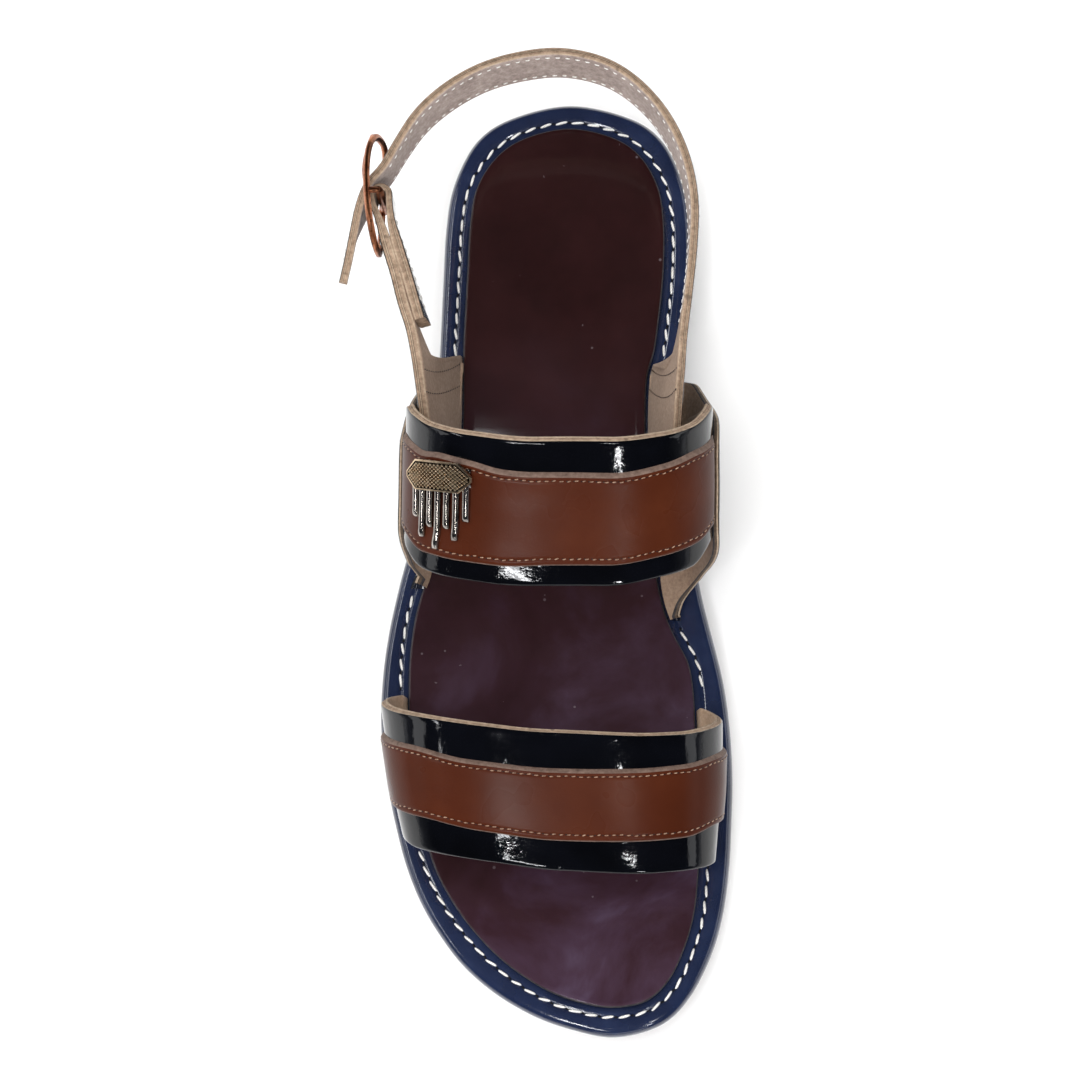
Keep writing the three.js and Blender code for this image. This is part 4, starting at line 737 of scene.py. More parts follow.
# Welt stitching, in its groove, left out where the side walls stand on it.
q = bed_p + bed_n * 2.7
path = np.column_stack([q, under_z(q[:, 1]) + M0 + 5.04])
idx = along_path(path, 5.0, closed=True)
at = sample(path, idx)
nxt, prv = sample(path, idx + .5), sample(path, np.maximum(idx - .5, 0))
tang = unit(nxt - prv)
keep = []
for i, p in enumerate(at):
    med = p[0] > 3
    hidden = (med and -20.5 < p[1] < 62.5) or (not med and -10.5 < p[1] < 65.5)
    band = -90.5 < p[1] < -38.5 and not med or -95.5 < p[1] < -39.5 and med
    keep.append(not hidden and not band)
keep = np.array(keep)
up = unit(np.cross(tang, np.column_stack([sample(bed_n, idx), np.zeros(len(idx))])))
up = np.where(up[:, 2:] < 0, -up, up)
stitches("welt_stitches", at[keep] + up[keep] * .24, tang[keep], up[keep], 4.35, .82, .66, M_WAX, tilt=.17, seg=8,
         rings=7, slot="painted_rim")
# dark spindles just past each stitch are painted shade where the thread goes into its hole; no hole is cut
hole_shades = at + tang * 2.5
stitches("welt_hole_shades", hole_shades[keep] + up[keep] * .06, tang[keep], up[keep], 1.5, .85, .34, M_HOLE_SHADE, seg=6, rings=4,
         slot="painted_rim")


# ------------------------------------------------------------------ bands
def lo_hi(y):
    return -np.degrees(foot_angle(y, -1)), 180 + np.degrees(foot_angle(y, 1))


def band_points(rear, front, ks, prof, footed, a0=None, a1=None, thin=None):
    """Rows of profile points round the foot. prof: (kind, mm, offset). Returns points (row, profile, 3)."""
    n, m = len(ks), len(prof)
    P = np.zeros((n, m, 3))
    for j, (kind, v, off) in enumerate(prof):
        a = np.full(n, 90.0) if footed else a0 + (a1 - a0) * ks
        y = (rear(a) + front(a)) / 2
        for _ in range(10 if footed else 1):
            if footed:
                lo, hi = lo_hi(y)
                a = lo + (hi - lo) * ks
            r, f = rear(a), front(a)
            L = (r - f) * 1.07
            s = {'r': v, 'f': L - v, 'm': 3.2 + (L - 6.4) * v}[kind]
            y = r + (f - r) * (s / L)
        lo, hi = lo_hi(y)
        o = off if thin is None else thin(a, off)
        P[:, j] = on_last(y, np.clip(a, lo, hi), np.broadcast_to(o, y.shape))
    return P


def to_rim(P, prof, lift=GAP):
    """Ends of a footed band: carried down beside the footbed on to the rim."""
    offs = np.array([p[2] for p in prof])
    out = [P]
    for side, row, pre in ((-1, P[0], True), (1, P[-1], False)):
        y = row[:, 1]
        bx = bed_line.lat(y) if side < 0 else bed_line.med(y)
        base = np.column_stack([bx + side * (1.5 * GAP + offs), y, rim_z(y) + lift])
        mids = [base * (1 - t) + row * t for t in (0, .33, .66)]
        out = mids + out if pre else out + mids[::-1]
    return np.concatenate([o[None] if o.ndim == 2 else o for o in out])


def leather_profile(T, lin, deep=0.0):
    """Cross-section of a lined band, from its front edge over the top to the rear."""
    P, E, K, G, L = 0, 1, 2, 3, 4        # patent, edge, pale edge, glue, lining
    pts = [('f', .42, T - .30, P), ('f', .70, T - .09, P), ('f', 1.15, T - .01, P), ('f', 2.0, T, P)]
    pts += [('m', 1 - k / 22, T, P) for k in range(0, 23)]
    pts += [('r', 2.0, T, P), ('r', 1.1, T - .01, P), ('r', .66, T - .08, P), ('r', .44, T - .28, K),
            ('r', .22, T - .78, G), ('r', .26, T - .86, E), ('r', -.02, T - .96, E), ('r', -.16, T - 1.45, G),
            ('r', -.12, T - 1.53, K), ('r', -.40, T - 1.63, K), ('r', -.46, T - 2.1, L), ('r', -.3, .1, L), ('r', .4, 0, L)]
    pts += [('m', k / 12, 0, L) for k in range(0, 13)]
    pts += [('f', 1.0, 0, L), ('f', .45, .08, E), ('f', .33, .7, 5), ('f', .33, T - .7, 5)]
    return [p[:3] for p in pts], [p[3] for p in pts]


def band(name, edge, ks, footed, lining, node, slot_name, a0=None, a1=None):
    prof, km = leather_profile(BAND, 1.2)
    P = band_points(table(edge, 1), table(edge, 2), ks, prof, footed, a0, a1)
    if footed:
        P = to_rim(P, prof)
    V, F, M = loop_sweep(P, km)
    return make(name, V, F, [M_PATENT, M_BEIGE, M_EDGE2, M_GLUE, lining, M_BLACKEDGE], M, angle=50, node=node,
                slot=slot_name)


def strip_edges(edge, strip):
    rear, front, s0, s1 = table(edge, 1), table(edge, 2), table(strip, 1), table(strip, 2)
    return (lambda a: rear(a) + (front(a) - rear(a)) * s0(a)), (lambda a: rear(a) + (front(a) - rear(a)) * s1(a))


def overlay(name, edge, strip, ks, footed, node, a0=None, a1=None, thin=None):
    T, B = 1.28, BAND + .02
    pts = [('f', -.05, B, 1), ('f', .12, B + T * .55, 1), ('f', .38, B + T - .22, 0), ('f', .72, B + T - .04, 0),
           ('f', 1.5, B + T, 0), ('f', 1.75, B + T - .06, 0), ('f', 2.05, B + T - .15, 0), ('f', 2.35, B + T - .06, 0),
           ('f', 2.6, B + T, 0)]
    pts += [('m', 1 - k / 26, B + T, 0) for k in range(0, 27)]
    pts += [('r', 2.75, B + T, 0), ('r', 2.5, B + T - .06, 0), ('r', 2.2, B + T - .15, 0), ('r', 1.9, B + T - .06, 0),
            ('r', 1.6, B + T - .01, 0), ('r', 1.15, B + T - .06, 1), ('r', .62, B + T * .72, 1), ('r', .1, B + T * .3, 1),
            ('r', -.15, B, 1)]
    pts += [('m', k / 6, B, 1) for k in range(0, 7)]
    prof, km = [p[:3] for p in pts], [p[3] for p in pts]
    rear, front = strip_edges(edge, strip)
    P = band_points(rear, front, ks, prof, footed, a0, a1, thin)
    if footed:
        P = to_rim(P, prof, GAP + .1)
    V, F, M = loop_sweep(P, km)
    make(name, V, F, [M_BROWN, M_BROWNEDGE], M, angle=50, node=node, slot="brown_strip")
    # two rows of stitching
    for tag, kind, mm in (("rear", 'r', 2.2), ("front", 'f', 2.05)):
        ks2 = np.linspace(ks[0] + .004, ks[-1] - .004, 700)
        line = band_points(rear, front, ks2, [(kind, mm, B + T - .12)], footed, a0, a1, thin)[:, 0]
        hi = band_points(rear, front, ks2, [(kind, mm, B + T + .9)], footed, a0, a1, thin)[:, 0]
        ix = along_path(line, 2.2)
        at, upv = sample(line, ix), unit(sample(hi, ix) - sample(line, ix))
        tg = unit(sample(line, np.minimum(ix + 1.5, len(line) - 1.001)) - sample(line, np.maximum(ix - 1.5, 0)))
        jit = np.cross(upv, tg) * rng.normal(0, .10, len(at))[:, None]
        stitches(f"{name}_stitches_{tag}", at + upv * .10 + jit, tg, upv, 1.45, .36, .34, M_CREAM, tilt=.16, seg=6,
                 rings=4, slot="brown_strip")
        # dark spindles between the stitches: painted shade of the thread holes
        hole_shade_at = sample(line, np.minimum(ix + .5 * (ix[1] - ix[0]), len(line) - 1.001))
        stitches(f"{name}_holes_{tag}", hole_shade_at + upv * .03, tg, upv, .7, .42, .2, M_HOLE_SHADE, seg=5, rings=3, slot="brown_strip")


foot_ks = np.concatenate([np.linspace(.012, .12, 22), np.linspace(.12, .88, 150)[1:-1], np.linspace(.88, .988, 22)])
band("front_band_leather", FRONT_EDGE, foot_ks, True, M_TAN, "front_band", "patent")
overlay("front_strip", FRONT_EDGE, FRONT_STRIP, foot_ks, True, "front_overlay")
band("instep_band_leather", INSTEP_EDGE, np.linspace(0, 1, 210), False, M_TAUPE, "upper", "patent", -30, 210)


def thin_ends(a, off):
    """The strip is skived where it goes in behind the side walls."""
    k = np.clip((np.minimum(a - 3.0, 177.0 - a)) / 9.0, 0.12, 1.0)
    return BAND - .1 + (off - BAND + .1) * k


overlay("instep_strip", INSTEP_EDGE, INSTEP_STRIP, np.linspace(0, 1, 190), False, "instep_overlay", 2.0, 178.0, thin_ends)


# ------------------------------------------------------------------ side walls
def side_wing(name, rows_t, side, ny):
    top = table(rows_t, 1)
    y0, y1 = rows_t[0][0], rows_t[-1][0]
    ys = y0 + (y1 - y0) * (1 - np.cos(np.pi * np.linspace(0, 1, ny))) / 2
    nv = 26
    ts = np.linspace(0, 1, nv + 1)[1:]
    loops = []
    for y in ys:
        foot = float(-np.degrees(foot_angle(y, side)))
        upa = max(float(top(y)), foot + 1.2)
        a = foot + (upa - foot) * ts
        A = a if side < 0 else 180 - a
        h = last_point(y, A)[:, 2] - bed_z(y)
        stand = (BAND - .15) * np.clip(h / 12, 0, 1) + .1
        inn = on_last(np.full(nv, y), A, stand - 1.3 * np.clip(1 - h / 9, 0, 1))
        outr = on_last(np.full(nv, y), A, stand + WING - .1)
        b = float(bed_line.lat(y) if side < 0 else bed_line.med(y))
        bi = np.array([b + side * (2 * GAP + .8), y, rim_z(y) + .05])
        bo = np.array([b + side * (2 * GAP + 1.6 + WING), y, rim_z(y) + .05])
        upd = unit(inn[-1] - inn[-2])
        q, p = outr[-1], inn[-1]
        e = [q * .86 + p * .14 + upd * .26, q * .6 + p * .4 + upd * .36, q * .55 + p * .45 + upd * .28,
             q * .25 + p * .75 + upd * .34, q * .06 + p * .94 + upd * .16]
        lo, hi_ = [bo * .5 + outr[0] * .5], [inn[0] * .5 + bi * .5]
        loops.append(np.vstack([bo, lo, outr, e, inn[::-1], hi_, bi]))
    P = np.array(loops)
    km = [0] * (2 + nv) + [1, 0, 3, 4, 4] + [2] * (P.shape[1] - (2 + nv) - 5)
    km[-1] = 2
    V, F, M = loop_sweep(P, km)
    make(name, V, F, [M_PATENT, M_EDGE2, M_TAUPE, M_GLUE, M_BLACKEDGE], M, angle=50, node="upper", slot="patent")


side_wing("wing_outer_side", WING_LAT, -1, 110)
side_wing("wing_inner_side", WING_MED, 1, 120)


# ------------------------------------------------------------------ straps
def strap_frame(rows_t, side, thick, step):
    tops = [r[:3] for r in rows_t]
    lows = []
    for r in rows_t:
        if r[3] == 'b':
            b = float(bed_line.lat(r[4]) if side < 0 else bed_line.med(r[4]))
            lows.append((b + side * (2 * GAP + STRAP / 2), r[4], float(rim_z(r[4])) + GAP + .1))
        else:
            h = math.sqrt(r[5] ** 2 - r[3] ** 2 - r[4] ** 2)
            lows.append((r[0] + r[3], r[1] + r[4], r[2] - h))
    n = len(rows_t) - 1
    us = []
    for i in range(n):
        d = np.linalg.norm(np.array(tops[i + 1]) - np.array(tops[i]))
        k = max(3, int(round(d / step)))
        us += [(i + j / k) / n for j in range(k)]
    us.append(1.0)
    tp, lp = catmull(tops, us, False), catmull(lows, us, False)
    t = np.gradient(tp, axis=0)
    t = unit(t)
    down = unit(lp - tp)
    nrm = unit(np.cross(t, down))
    for _ in range(2):
        nrm[1:-1] = unit((nrm[:-2] + 2 * nrm[1:-1] + nrm[2:]) / 4)
    th = thick(tp)
    return dict(top=tp, low=lp, nrm=nrm, down=down, t=t, th=th, us=np.array(us), H=np.linalg.norm(lp - tp, axis=1))


def strap_at(fr, mm, w, from_low=False):
    """Points mm below the top edge (or above the lower one), at w half thicknesses."""
    d = (fr['H'] - mm) if from_low else mm
    return fr['top'] + fr['down'] * np.broadcast_to(d, fr['H'].shape)[:, None] + fr['nrm'] * (fr['th'] / 2 * w)[:, None]


def strap_mesh(name, fr, outer, mats_by_row, mats, node, slot_name):
    """outer: +1 if the patent side is along nrm. mats_by_row(row) names the lining."""
    P, E, K, G, L = 0, 1, 2, 3, 4
    prof = [('l', .9, 1, P), ('l', 2.0, .97, P)] + [('m', 1 - k / 10, 1, P) for k in range(0, 11)]
    prof += [('t', 2.0, .97, P), ('t', .9, 1, P), ('t', .4, .97, P), ('t', .08, .84, G), ('t', .0, .76, E), ('t', -.04, .40, G),
             ('t', .12, .34, K), ('t', -.02, .26, K), ('t', -.06, .10, G), ('t', .10, .04, E), ('t', -.05, -.06, E),
             ('t', -.05, -.60, K), ('t', .02, -.70, K), ('t', .10, -.86, L), ('t', .5, -1, L), ('t', 1.6, -1, L)]
    prof += [('m', k / 8, -1, L) for k in range(0, 9)]
    prof += [('l', 1.0, -1, L), ('l', .3, -.95, E), ('l', .0, -.6, K), ('l', -.05, .4, E), ('l', .1, .85, P), ('l', .4, .98, P)]
    n = len(fr['us'])
    pts = np.zeros((n, len(prof), 3))
    for j, (kind, v, w, _) in enumerate(prof):
        if kind == 'm':
            d = 3.2 + (fr['H'] - 6.4) * v
        elif kind == 't':
            d = np.full(n, v)
        else:
            d = fr['H'] - v
        pts[:, j] = fr['top'] + fr['down'] * d[:, None] + fr['nrm'] * (fr['th'] / 2 * w * outer)[:, None]
    V, F, M = loop_sweep(pts, [p[3] for p in prof])
    M = np.array(M)
    m = len(prof)
    for r in range(n - 1):
        seg = M[r * m:(r + 1) * m]
        seg[seg == L] = mats_by_row(fr['top'][r])
    M[-2:] = 1
    make(name, V, F, mats, M.tolist(), angle=50, node=node, slot=slot_name)


heel = strap_frame(HEEL_STRAP, 1, lambda p: np.full(len(p), STRAP), 2.0)
strap_mesh("heel_strap", heel, -1, lambda p: 5 if p[1] > 64 else 4,
           [M_PATENT, M_BEIGE, M_EDGE2, M_GLUE, M_TAUPE, M_GREY], "upper", "patent")
fold_th = lambda p: FOLD + (STRAP + .75 - FOLD) * np.clip((93 - p[:, 1]) / 9, 0, 1)
buck = strap_frame(BUCKLE_STRAP, -1, fold_th, 1.4)
strap_mesh("buckle_strap", buck, 1, lambda p: 4, [M_PATENT, M_BEIGE, M_EDGE2, M_GLUE, M_TAUPE, M_GREY], "upper", "patent")


def strap_stitches(name, fr, mm, w, rows, from_low=False, pitch=3.0, size=(1.9, .5, .42), mat=None, tilt=.1):
    i0, i1 = rows
    line = strap_at(fr, mm, w, from_low)[i0:i1]
    upv = fr['nrm'][i0:i1] * np.sign(w)
    ix = along_path(line, pitch)
    at, u = sample(line, ix), unit(sample(upv, ix))
    tg = unit(sample(line, np.minimum(ix + .5, len(line) - 1.001)) - sample(line, np.maximum(ix - .5, 0)))
    stitches(name, at + u * .05, tg, u, *size, mat or M_WAX, tilt=tilt, seg=6, rings=4, slot="patent")


def row_of(fr, fn):
    return int(np.argmax(np.array([fn(p) for p in fr['top']])))


h0 = row_of(heel, lambda p: p[1] > 63)
h1 = len(heel['us']) - 4
hb = row_of(heel, lambda p: p[0] < -45 and p[1] < 106)
strap_stitches("heel_strap_stitches_in_top", heel, 2.0, 1.0, (h0, hb))
strap_stitches("heel_strap_stitches_in_low", heel, 2.0, 1.0, (h0, hb), True)
strap_stitches("heel_strap_stitches_out_top", heel, 1.9, -1.0, (h0 - 6, h1))
strap_stitches("heel_strap_stitches_out_low", heel, 1.9, -1.0, (h0, h1), True)
b0 = row_of(buck, lambda p: p[1] > 63)
bf = row_of(buck, lambda p: p[1] > 95)
strap_stitches("buckle_strap_stitches_top", buck, 1.8, 1.0, (b0, bf))
strap_stitches("buckle_strap_stitches_low", buck, 1.8, 1.0, (b0, bf), True)
bb = row_of(buck, lambda p: p[0] > -45.9 and p[1] < 90 and p[1] > 84)
be = len(buck['us']) - 3
back = row_of(buck, lambda p: p[0] > BARX + 2.4 and p[1] > 90)
strap_stitches("buckle_strap_stitches_back_top", buck, 1.8, 1.0, (back + 4, be))
strap_stitches("buckle_strap_stitches_back_low", buck, 1.8, 1.0, (back + 4, be), True)


def seam_rows(name, fr, edge, face, pitch=2.3):
    """Stitches on the foot side of a quarter, beside its rear edge and where it is joined to the wing."""
    half = fr['top'][:, 1] < 60
    if fr is buck:
        half &= np.arange(len(fr['us'])) < len(fr['us']) // 2
    vs = np.linspace(.02, .99, 90)
    G = (fr['top'][half][:, None] + (fr['down'][half] * fr['H'][half][:, None])[:, None] * vs[None, :, None]
         + (fr['nrm'][half] * fr['th'][half][:, None] / 2 * face)[:, None]).reshape(-1, 3)
    N = np.repeat(fr['nrm'][half] * face, len(vs), 0)
    e = np.array(edge, float)
    t = np.linspace(0, 1, 60)
    q = catmull([(a, b, 0) for a, b in e], t, False)
    for tag, back, mat in (("edge", 2.2, M_DKTHREAD), ("join", 9.0, M_DKTHREAD)):
        k = [int(np.argmin((G[:, 1] - (y - back)) ** 2 + (G[:, 2] - z) ** 2)) for y, z, _ in q]
        line, up_ = G[k], N[k]
        line = np.stack([np.polyval(np.polyfit(t, line[:, c], 2), t) for c in range(3)], 1)
        ix = along_path(line, pitch)
        at, u = sample(line, ix), unit(sample(up_, ix))
        tg = unit(sample(line, np.minimum(ix + .6, len(line) - 1.001)) - sample(line, np.maximum(ix - .6, 0)))
        stitches(f"{name}_{tag}", at + u * .06, tg, u, 1.45, .46, .38, mat, tilt=.1, seg=6, rings=4, slot="patent")


seam_rows("quarter_seam_inner_side", heel, [(60, 24), (57.4, 33), (53.8, 44), (51.6, 53), (50.2, 62), (49.4, 70)], 1.0)
seam_rows("quarter_seam_outer_side", buck, [(63, 24), (59.5, 33), (55.6, 43), (53.2, 51), (51.4, 59), (50.2, 67)], -1.0)


# ------------------------------------------------------------------ buckle
def ring_curve(t):
    w = t * 2 * np.pi
    c, s, e = np.cos(w), np.sin(w), 2 / 2.5
    ly = BUCKLE['halfLong'] * np.sign(c) * np.abs(c) ** e
    lz = BUCKLE['halfTall'] * np.sign(s) * np.abs(s) ** e
    k = np.clip((ly + BUCKLE['halfLong']) / (2 * BUCKLE['halfLong']), 0, 1)
    bow = 1.2 * (ly / BUCKLE['halfLong']) ** 2
    return np.stack([BUCKLE['x'] - BUCKLE['lean'] * lz * (.25 + k) + bow, BUCKLE['y'] + ly, BUCKLE['z'] + lz], -1)


def buckle_mesh():
    dense = ring_curve(np.linspace(0, 1, 4001)[:-1])
    n, m = 420, 20
    p = sample(np.vstack([dense, dense[:1]]), along_path(dense, 1.0, closed=True))
    s = along_path(dense, np.linalg.norm(np.diff(np.vstack([dense, dense[:1]]), axis=0), axis=1).sum() / n, closed=True)
    c = sample(dense, s)[:n]
    t = unit(np.roll(c, -1, 0) - np.roll(c, 1, 0))
    X = np.tile([1.0, 0, 0], (len(c), 1))
    X = unit(X - t * (X * t).sum(1)[:, None])
    Y = np.cross(t, X)
    arc = np.arange(len(c)) * .2
    loops = []
    for j in range(m):
        a = 2 * np.pi * j / m
        # a flat strand: broad across, a rib in the middle between two milled rims
        wx, wy = math.cos(a), math.sin(a)
        rx = .86 * np.sign(wx) * abs(wx) ** .8
        ry = 1.12 * np.sign(wy) * abs(wy) ** .9
        rib = .16 * math.exp(-((abs(wy)) / .2) ** 2) - .13 * math.exp(-((abs(wy) - .45) / .16) ** 2)
        mill = .12 * math.exp(-((abs(wy) - .78) / .16) ** 2)
        k = 1 + (rib if abs(wx) > .3 else 0)
        loops.append(c + X * (rx * k + np.sign(wx) * mill * np.cos(2 * np.pi * np.arange(len(c)) / 4))[:, None] + Y * ry)
    P = np.stack(loops, 1)
    V, F, M = ring_sweep(P, [0] * m)
    V, F = list(map(tuple, V)), list(F)

    def rod(a, b, r, seg=20):
        a, b = np.array(a, float), np.array(b, float)
        d = unit(b - a)
        x = unit(np.cross(d, [0.3, 1, 0.2]))
        y = np.cross(d, x)
        base = len(V)
        for q in (0, .04, .96, 1):
            rr = r * (.82 if q in (0, 1) else 1)
            for i in range(seg):
                w = 2 * math.pi * i / seg
                V.append(tuple(a + (b - a) * q + (x * math.cos(w) + y * math.sin(w)) * rr))
        for j in range(3):
            for i in range(seg):
                F.append((base + j * seg + i, base + j * seg + (i + 1) % seg, base + (j + 1) * seg + (i + 1) % seg,
                          base + (j + 1) * seg + i))
        F.append(tuple(range(base, base + seg))[::-1])
        F.append(tuple(range(base + 3 * seg, base + 4 * seg)))
    z, ht = BUCKLE['z'], BUCKLE['halfTall']
    rod((BARX, BARY, z - ht - .2), (BARX, BARY, z + ht + .2), BUCKLE['bar'])
    for sg in (1, -1):
        zr, xr = z + sg * ht * .995, BUCKLE['x'] - BUCKLE['lean'] * sg * ht * .72
        rod((BARX + .3, BARY, zr - sg * .3), (xr, BARY, zr), .95)
    make("buckle_frame", V, F, [M_COPPER], None, angle=50, node="buckle", slot="copper_metal")


buckle_mesh()


def tube(name, pts, r, n, m, mat, node, slot_name):
    c = catmull(pts, np.linspace(0, 1, n), False)
    t = unit(np.gradient(c, axis=0))
    X = unit(np.cross(t, [0, 0, 1.0]))
    Y = np.cross(t, X)
    f = np.clip(np.minimum(np.arange(n), np.arange(n)[::-1]) / 3, .45, 1) ** .5
    P = np.stack([c + (X * math.cos(a) + Y * math.sin(a)) * (r * f)[:, None] for a in 2 * np.pi * np.arange(m) / m], 1)
    V, F, M = loop_sweep(P, [0] * m)
    make(name, V, F, [mat], M, angle=60, node=node, slot=slot_name)


tube("prong", PRONG, .85, 60, 14, M_COPPER, "buckle_prong", "copper_metal")


# ------------------------------------------------------------------ ornament
arc_deg = float(np.linalg.norm(last_point(6, ORN['a'] + 1) - last_point(6, ORN['a'] - 1))) / 2


def on_strip(u, v, off):
    u, v = np.asarray(u, float), np.asarray(v, float)
    return on_last(ORN['y'] - v - .18 * u, ORN['a'] + u / arc_deg, BAND + GAP + OVERLAY + np.asarray(off, float) - .12)


def bars():
    V, F = [], []

    def box(u0, u1, v0, v1, h, n=16, ribs=0):
        us = np.linspace(u0, u1, 13) if not ribs else np.linspace(u0, u1, ribs)
        w = (u1 - u0) / 2
        mid = (u0 + u1) / 2
        if ribs:
            hh = h * (.82 + .18 * np.abs(np.sin(np.pi * np.arange(ribs) / 4)))
        else:
            hh = h * (.30 + .70 * np.sqrt(np.maximum(1 - (np.abs(us - mid) / w) ** 2.2, 0)))
        vs = v0 + (v1 - v0) * np.linspace(0, 1, n)
        rows = []
        for k, v in enumerate(vs):
            e = min(k, n - 1 - k)
            s = (.55, .88, 1)[min(e, 2)]
            topl = on_strip(us, np.full(len(us), v), hh * s)
            botl = on_strip(us[::-1], np.full(len(us), v), np.full(len(us), .0))
            rows.append(np.vstack([topl, botl]))
        v_, f_, _ = loop_sweep(np.array(rows), [0] * (2 * len(us)))
        b = len(V)
        V.extend(map(tuple, v_))
        F.extend(tuple(b + i for i in f) for f in f_)
    box(-9.3, 9.3, -2.4, 2.6, 1.15, 12, 89)
    for u, ln in BARS:
        box(u - .98, u + .98, 1.0, ln, 1.75, 22)
    make("ornament_rods", V, F, [M_GUN], None, angle=40, node="ornament_bars", slot="gunmetal")


bars()


def plate():
    half, tall, cut = ORN['half'] - .15, ORN['tall'] - .3, ORN['cut']
    b0 = ORN['thick'] + .35
    corners = np.array([(-half, -tall / 2 + cut), (-half + cut, -tall / 2), (half - cut, -tall / 2), (half, -tall / 2 + cut),
                        (half, tall / 2 - cut), (half - cut, tall / 2), (-half + cut, tall / 2), (-half, tall / 2 - cut)])
    seg = 22
    ring = np.concatenate([corners[i] + (corners[(i + 1) % 8] - corners[i]) * np.arange(seg)[:, None] / seg for i in range(8)])
    rows = []
    for d, h in ((None, 0), (.26, 0), (0, .12), (0, .72), (.12, .92), (.46, .92), (.54, .62), (None, .62)):
        k = ring * 0 if d is None else ring * np.array([1 - d / half, 1 - 2 * d / tall])
        rows.append(on_strip(k[:, 0], k[:, 1], np.full(len(k), b0 + h)))
    V, F, M = loop_sweep(np.array(rows), [1] * len(ring), cap=False)
    n = len(ring)
    M = sum([[m] * n for m in (0, 0, 0, 0, 0, 1, 1)], [])
    V, F = list(map(tuple, V)), list(F)
    # knurling: rows of pointed studs with dark gaps
    pitch = 1.06
    for a in range(-30, 31):
        for c in range(-30, 31):
            u, v = (a + c) * pitch / 2 * 1.12, (a - c) * pitch / 2 * .98
            if abs(v) > tall / 2 - .86 or abs(u) > half - .86 or abs(u) + abs(v) > half + tall / 2 - cut - 1.15:
                continue
            base = len(V)
            for r, h in ((.42, .58), (.33, .92), (.15, 1.06)):
                q = 2 * np.pi * (np.arange(8)) / 8
                rr = r * (1 if r < .2 else 1 / np.maximum(np.abs(np.cos(q)), np.abs(np.sin(q))) ** .0) * np.where(np.arange(8) % 2, .80, 1.0)
                V.extend(map(tuple, on_strip(u + rr * np.cos(q) * 1.08, v + rr * np.sin(q), np.full(8, b0 + h))))
            for lv in range(2):
                for k in range(8):
                    F.append((base + lv * 8 + k, base + lv * 8 + (k + 1) % 8, base + lv * 8 + 8 + (k + 1) % 8, base + lv * 8 + 8 + k))
                    M.append(0)
            F.append(tuple(base + 16 + k for k in range(8)))
            M.append(0)
            F.append(tuple(base + 7 - k for k in range(8)))
            M.append(1)
    make("ornament_face", V, F, [M_GOLD, M_GOLDGAP], M, angle=30, node="ornament_plate", slot="pale_gold")


plate()

# ------------------------------------------------------------------ studio
floor_mat, nt, b = material("studio_floor", (.9, .9, .9), .7, spec=.1)
b.inputs["Emission Color"].default_value, b.inputs["Emission Strength"].default_value = (1, 1, 1, 1), .10
nt.links.new(ramp(nt, noise(nt, coords(nt), 3, 2), [(.3, (.88, .882, .885)), (.7, (.90, .90, .905))]), b.inputs["Base Color"])
me = bpy.data.meshes.new("floor")
me.from_pydata([(-3, -3, 0), (3, -3, 0), (3, 3, 0), (-3, 3, 0)], [], [(0, 1, 2, 3)])
me.materials.append(floor_mat)
floor = bpy.data.objects.new("floor", me)
bpy.context.scene.collection.objects.link(floor)

world = bpy.data.worlds.new("studio")
bpy.context.scene.world = world
world.use_nodes = True
wn = world.node_tree
bg = wn.nodes["Background"]
tc = wn.nodes.new("ShaderNodeTexCoord")
sp = wn.nodes.new("ShaderNodeSeparateXYZ")
wn.links.new(tc.outputs["Generated"], sp.inputs[0])
wr = wn.nodes.new("ShaderNodeValToRGB")
e = wr.color_ramp.elements
e[0].position, e[0].color = .0, (.85, .87, .92, 1)
e[1].position, e[1].color = .32, (.020, .022, .028, 1)
k = e.new(.10)
k.color = (.20, .21, .24, 1)
wn.links.new(sp.outputs["Z"], wr.inputs["Fac"])
wn.links.new(wr.outputs["Color"], bg.inputs["Color"])
bg.inputs["Strength"].default_value = 1.0
bpy.context.scene.view_settings.view_transform = 'Standard'
bpy.context.scene.view_settings.look = 'None'


def area(name, loc, target, size, power, color=(1, 1, 1), glossy=True, shape='SQUARE', size_y=None):
    L = bpy.data.lights.new(name, 'AREA')
    L.shape, L.size, L.energy, L.color = shape, size, power, color
    if size_y:
        L.shape, L.size_y = 'RECTANGLE', size_y
    ob = bpy.data.objects.new(name, L)
    ob.location = loc
    ob.rotation_euler = (Vector(target) - Vector(loc)).to_track_quat('-Z', 'Y').to_euler()
    ob.visible_glossy = glossy
    ob.visible_camera = False
    bpy.context.scene.collection.objects.link(ob)
    return ob


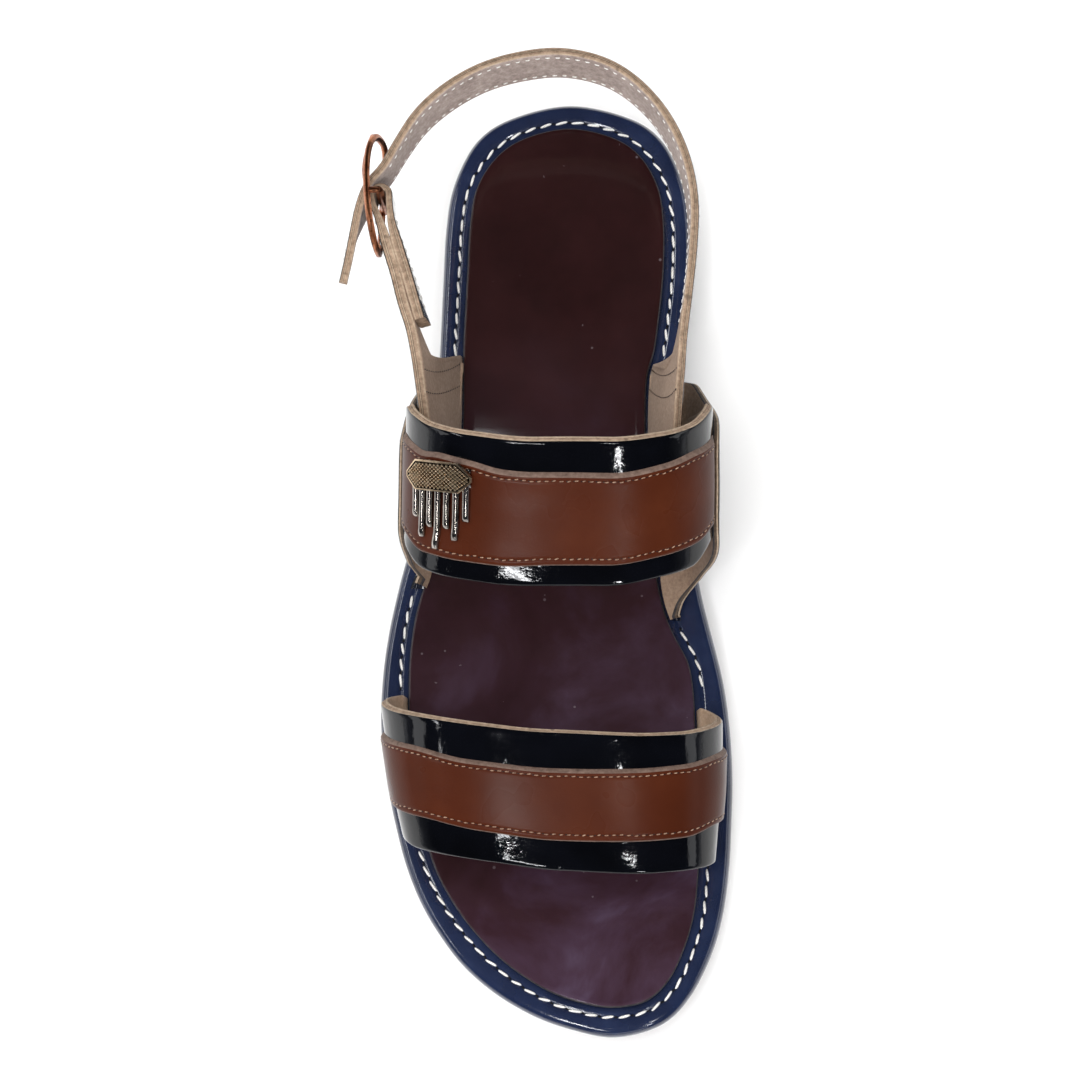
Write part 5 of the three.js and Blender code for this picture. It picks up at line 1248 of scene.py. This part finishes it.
def toward(x, y, z, d):
    k = d / math.sqrt(x * x + y * y + z * z)
    return (x * k, y * k, z * k + .05)


area("overhead", (-.25, .25, 2.0), (0, 0, 0), 2.4, 58, (1, .99, .97), glossy=False)
area("fill_toe", (.2, -1.7, 1.1), (0, 0, .04), 1.2, 20, (1, .98, .96), glossy=False)
area("strip_front_right", toward(.39, -.625, .68, 1.5), (0, 0, .05), .075, 1.4, (.97, .98, 1), size_y=.075)
area("strip_front_left", toward(-.22, -.50, .84, 1.5), (0, 0, .05), .34, 2.0, (.97, .98, 1), size_y=.035)
area("strip_toe_right", toward(.33, -.31, .89, 1.5), (0, 0, .05), .075, 1.05, (.97, .98, 1), size_y=.06)
area("strip_toe_left", toward(-.262, -.378, .888, 1.5), (0, 0, .05), .13, 1.8, (.97, .98, 1), size_y=.030)
area("spot_insole", toward(-.025, -.12, .992, 1.9), (0, 0, .02), .03, .05, (1, 1, 1), size_y=.03)
area("line_left", (-1.05, .15, .95), (0, 0, .04), 1.1, 2.4, (.97, .98, 1), size_y=.045)
area("side_right", (1.15, .25, .42), (0, 0, .03), 1.2, 1.7, (.97, .98, 1), size_y=.30)
area("side_left", (-1.2, .2, .50), (0, 0, .03), 1.2, 1.9, (.97, .98, 1), size_y=.30)
area("side_toe", (.1, -1.25, .40), (0, 0, .03), .9, 1.3, (.97, .98, 1), size_y=.30)

cam_data = bpy.data.cameras.new("photo_camera")
cam_data.sensor_width = 36
cam_data.lens = 4085.6 / 1080 * 36
cam_data.clip_end = 20
cam = bpy.data.objects.new("photo_camera", cam_data)
bpy.context.scene.collection.objects.link(cam)
eye = Vector((.064969, -.253589, 1.242685))
aim = Vector((0.0, .004, .030))
f = (aim - eye).normalized()
r = (Vector((1, 0, 0)) - f * f.x).normalized()
u = r.cross(f)
cam.matrix_world = Matrix(((r.x, u.x, -f.x, eye.x), (r.y, u.y, -f.y, eye.y), (r.z, u.z, -f.z, eye.z), (0, 0, 0, 1)))
bpy.context.scene.camera = cam

bpy.context.view_layer.update()
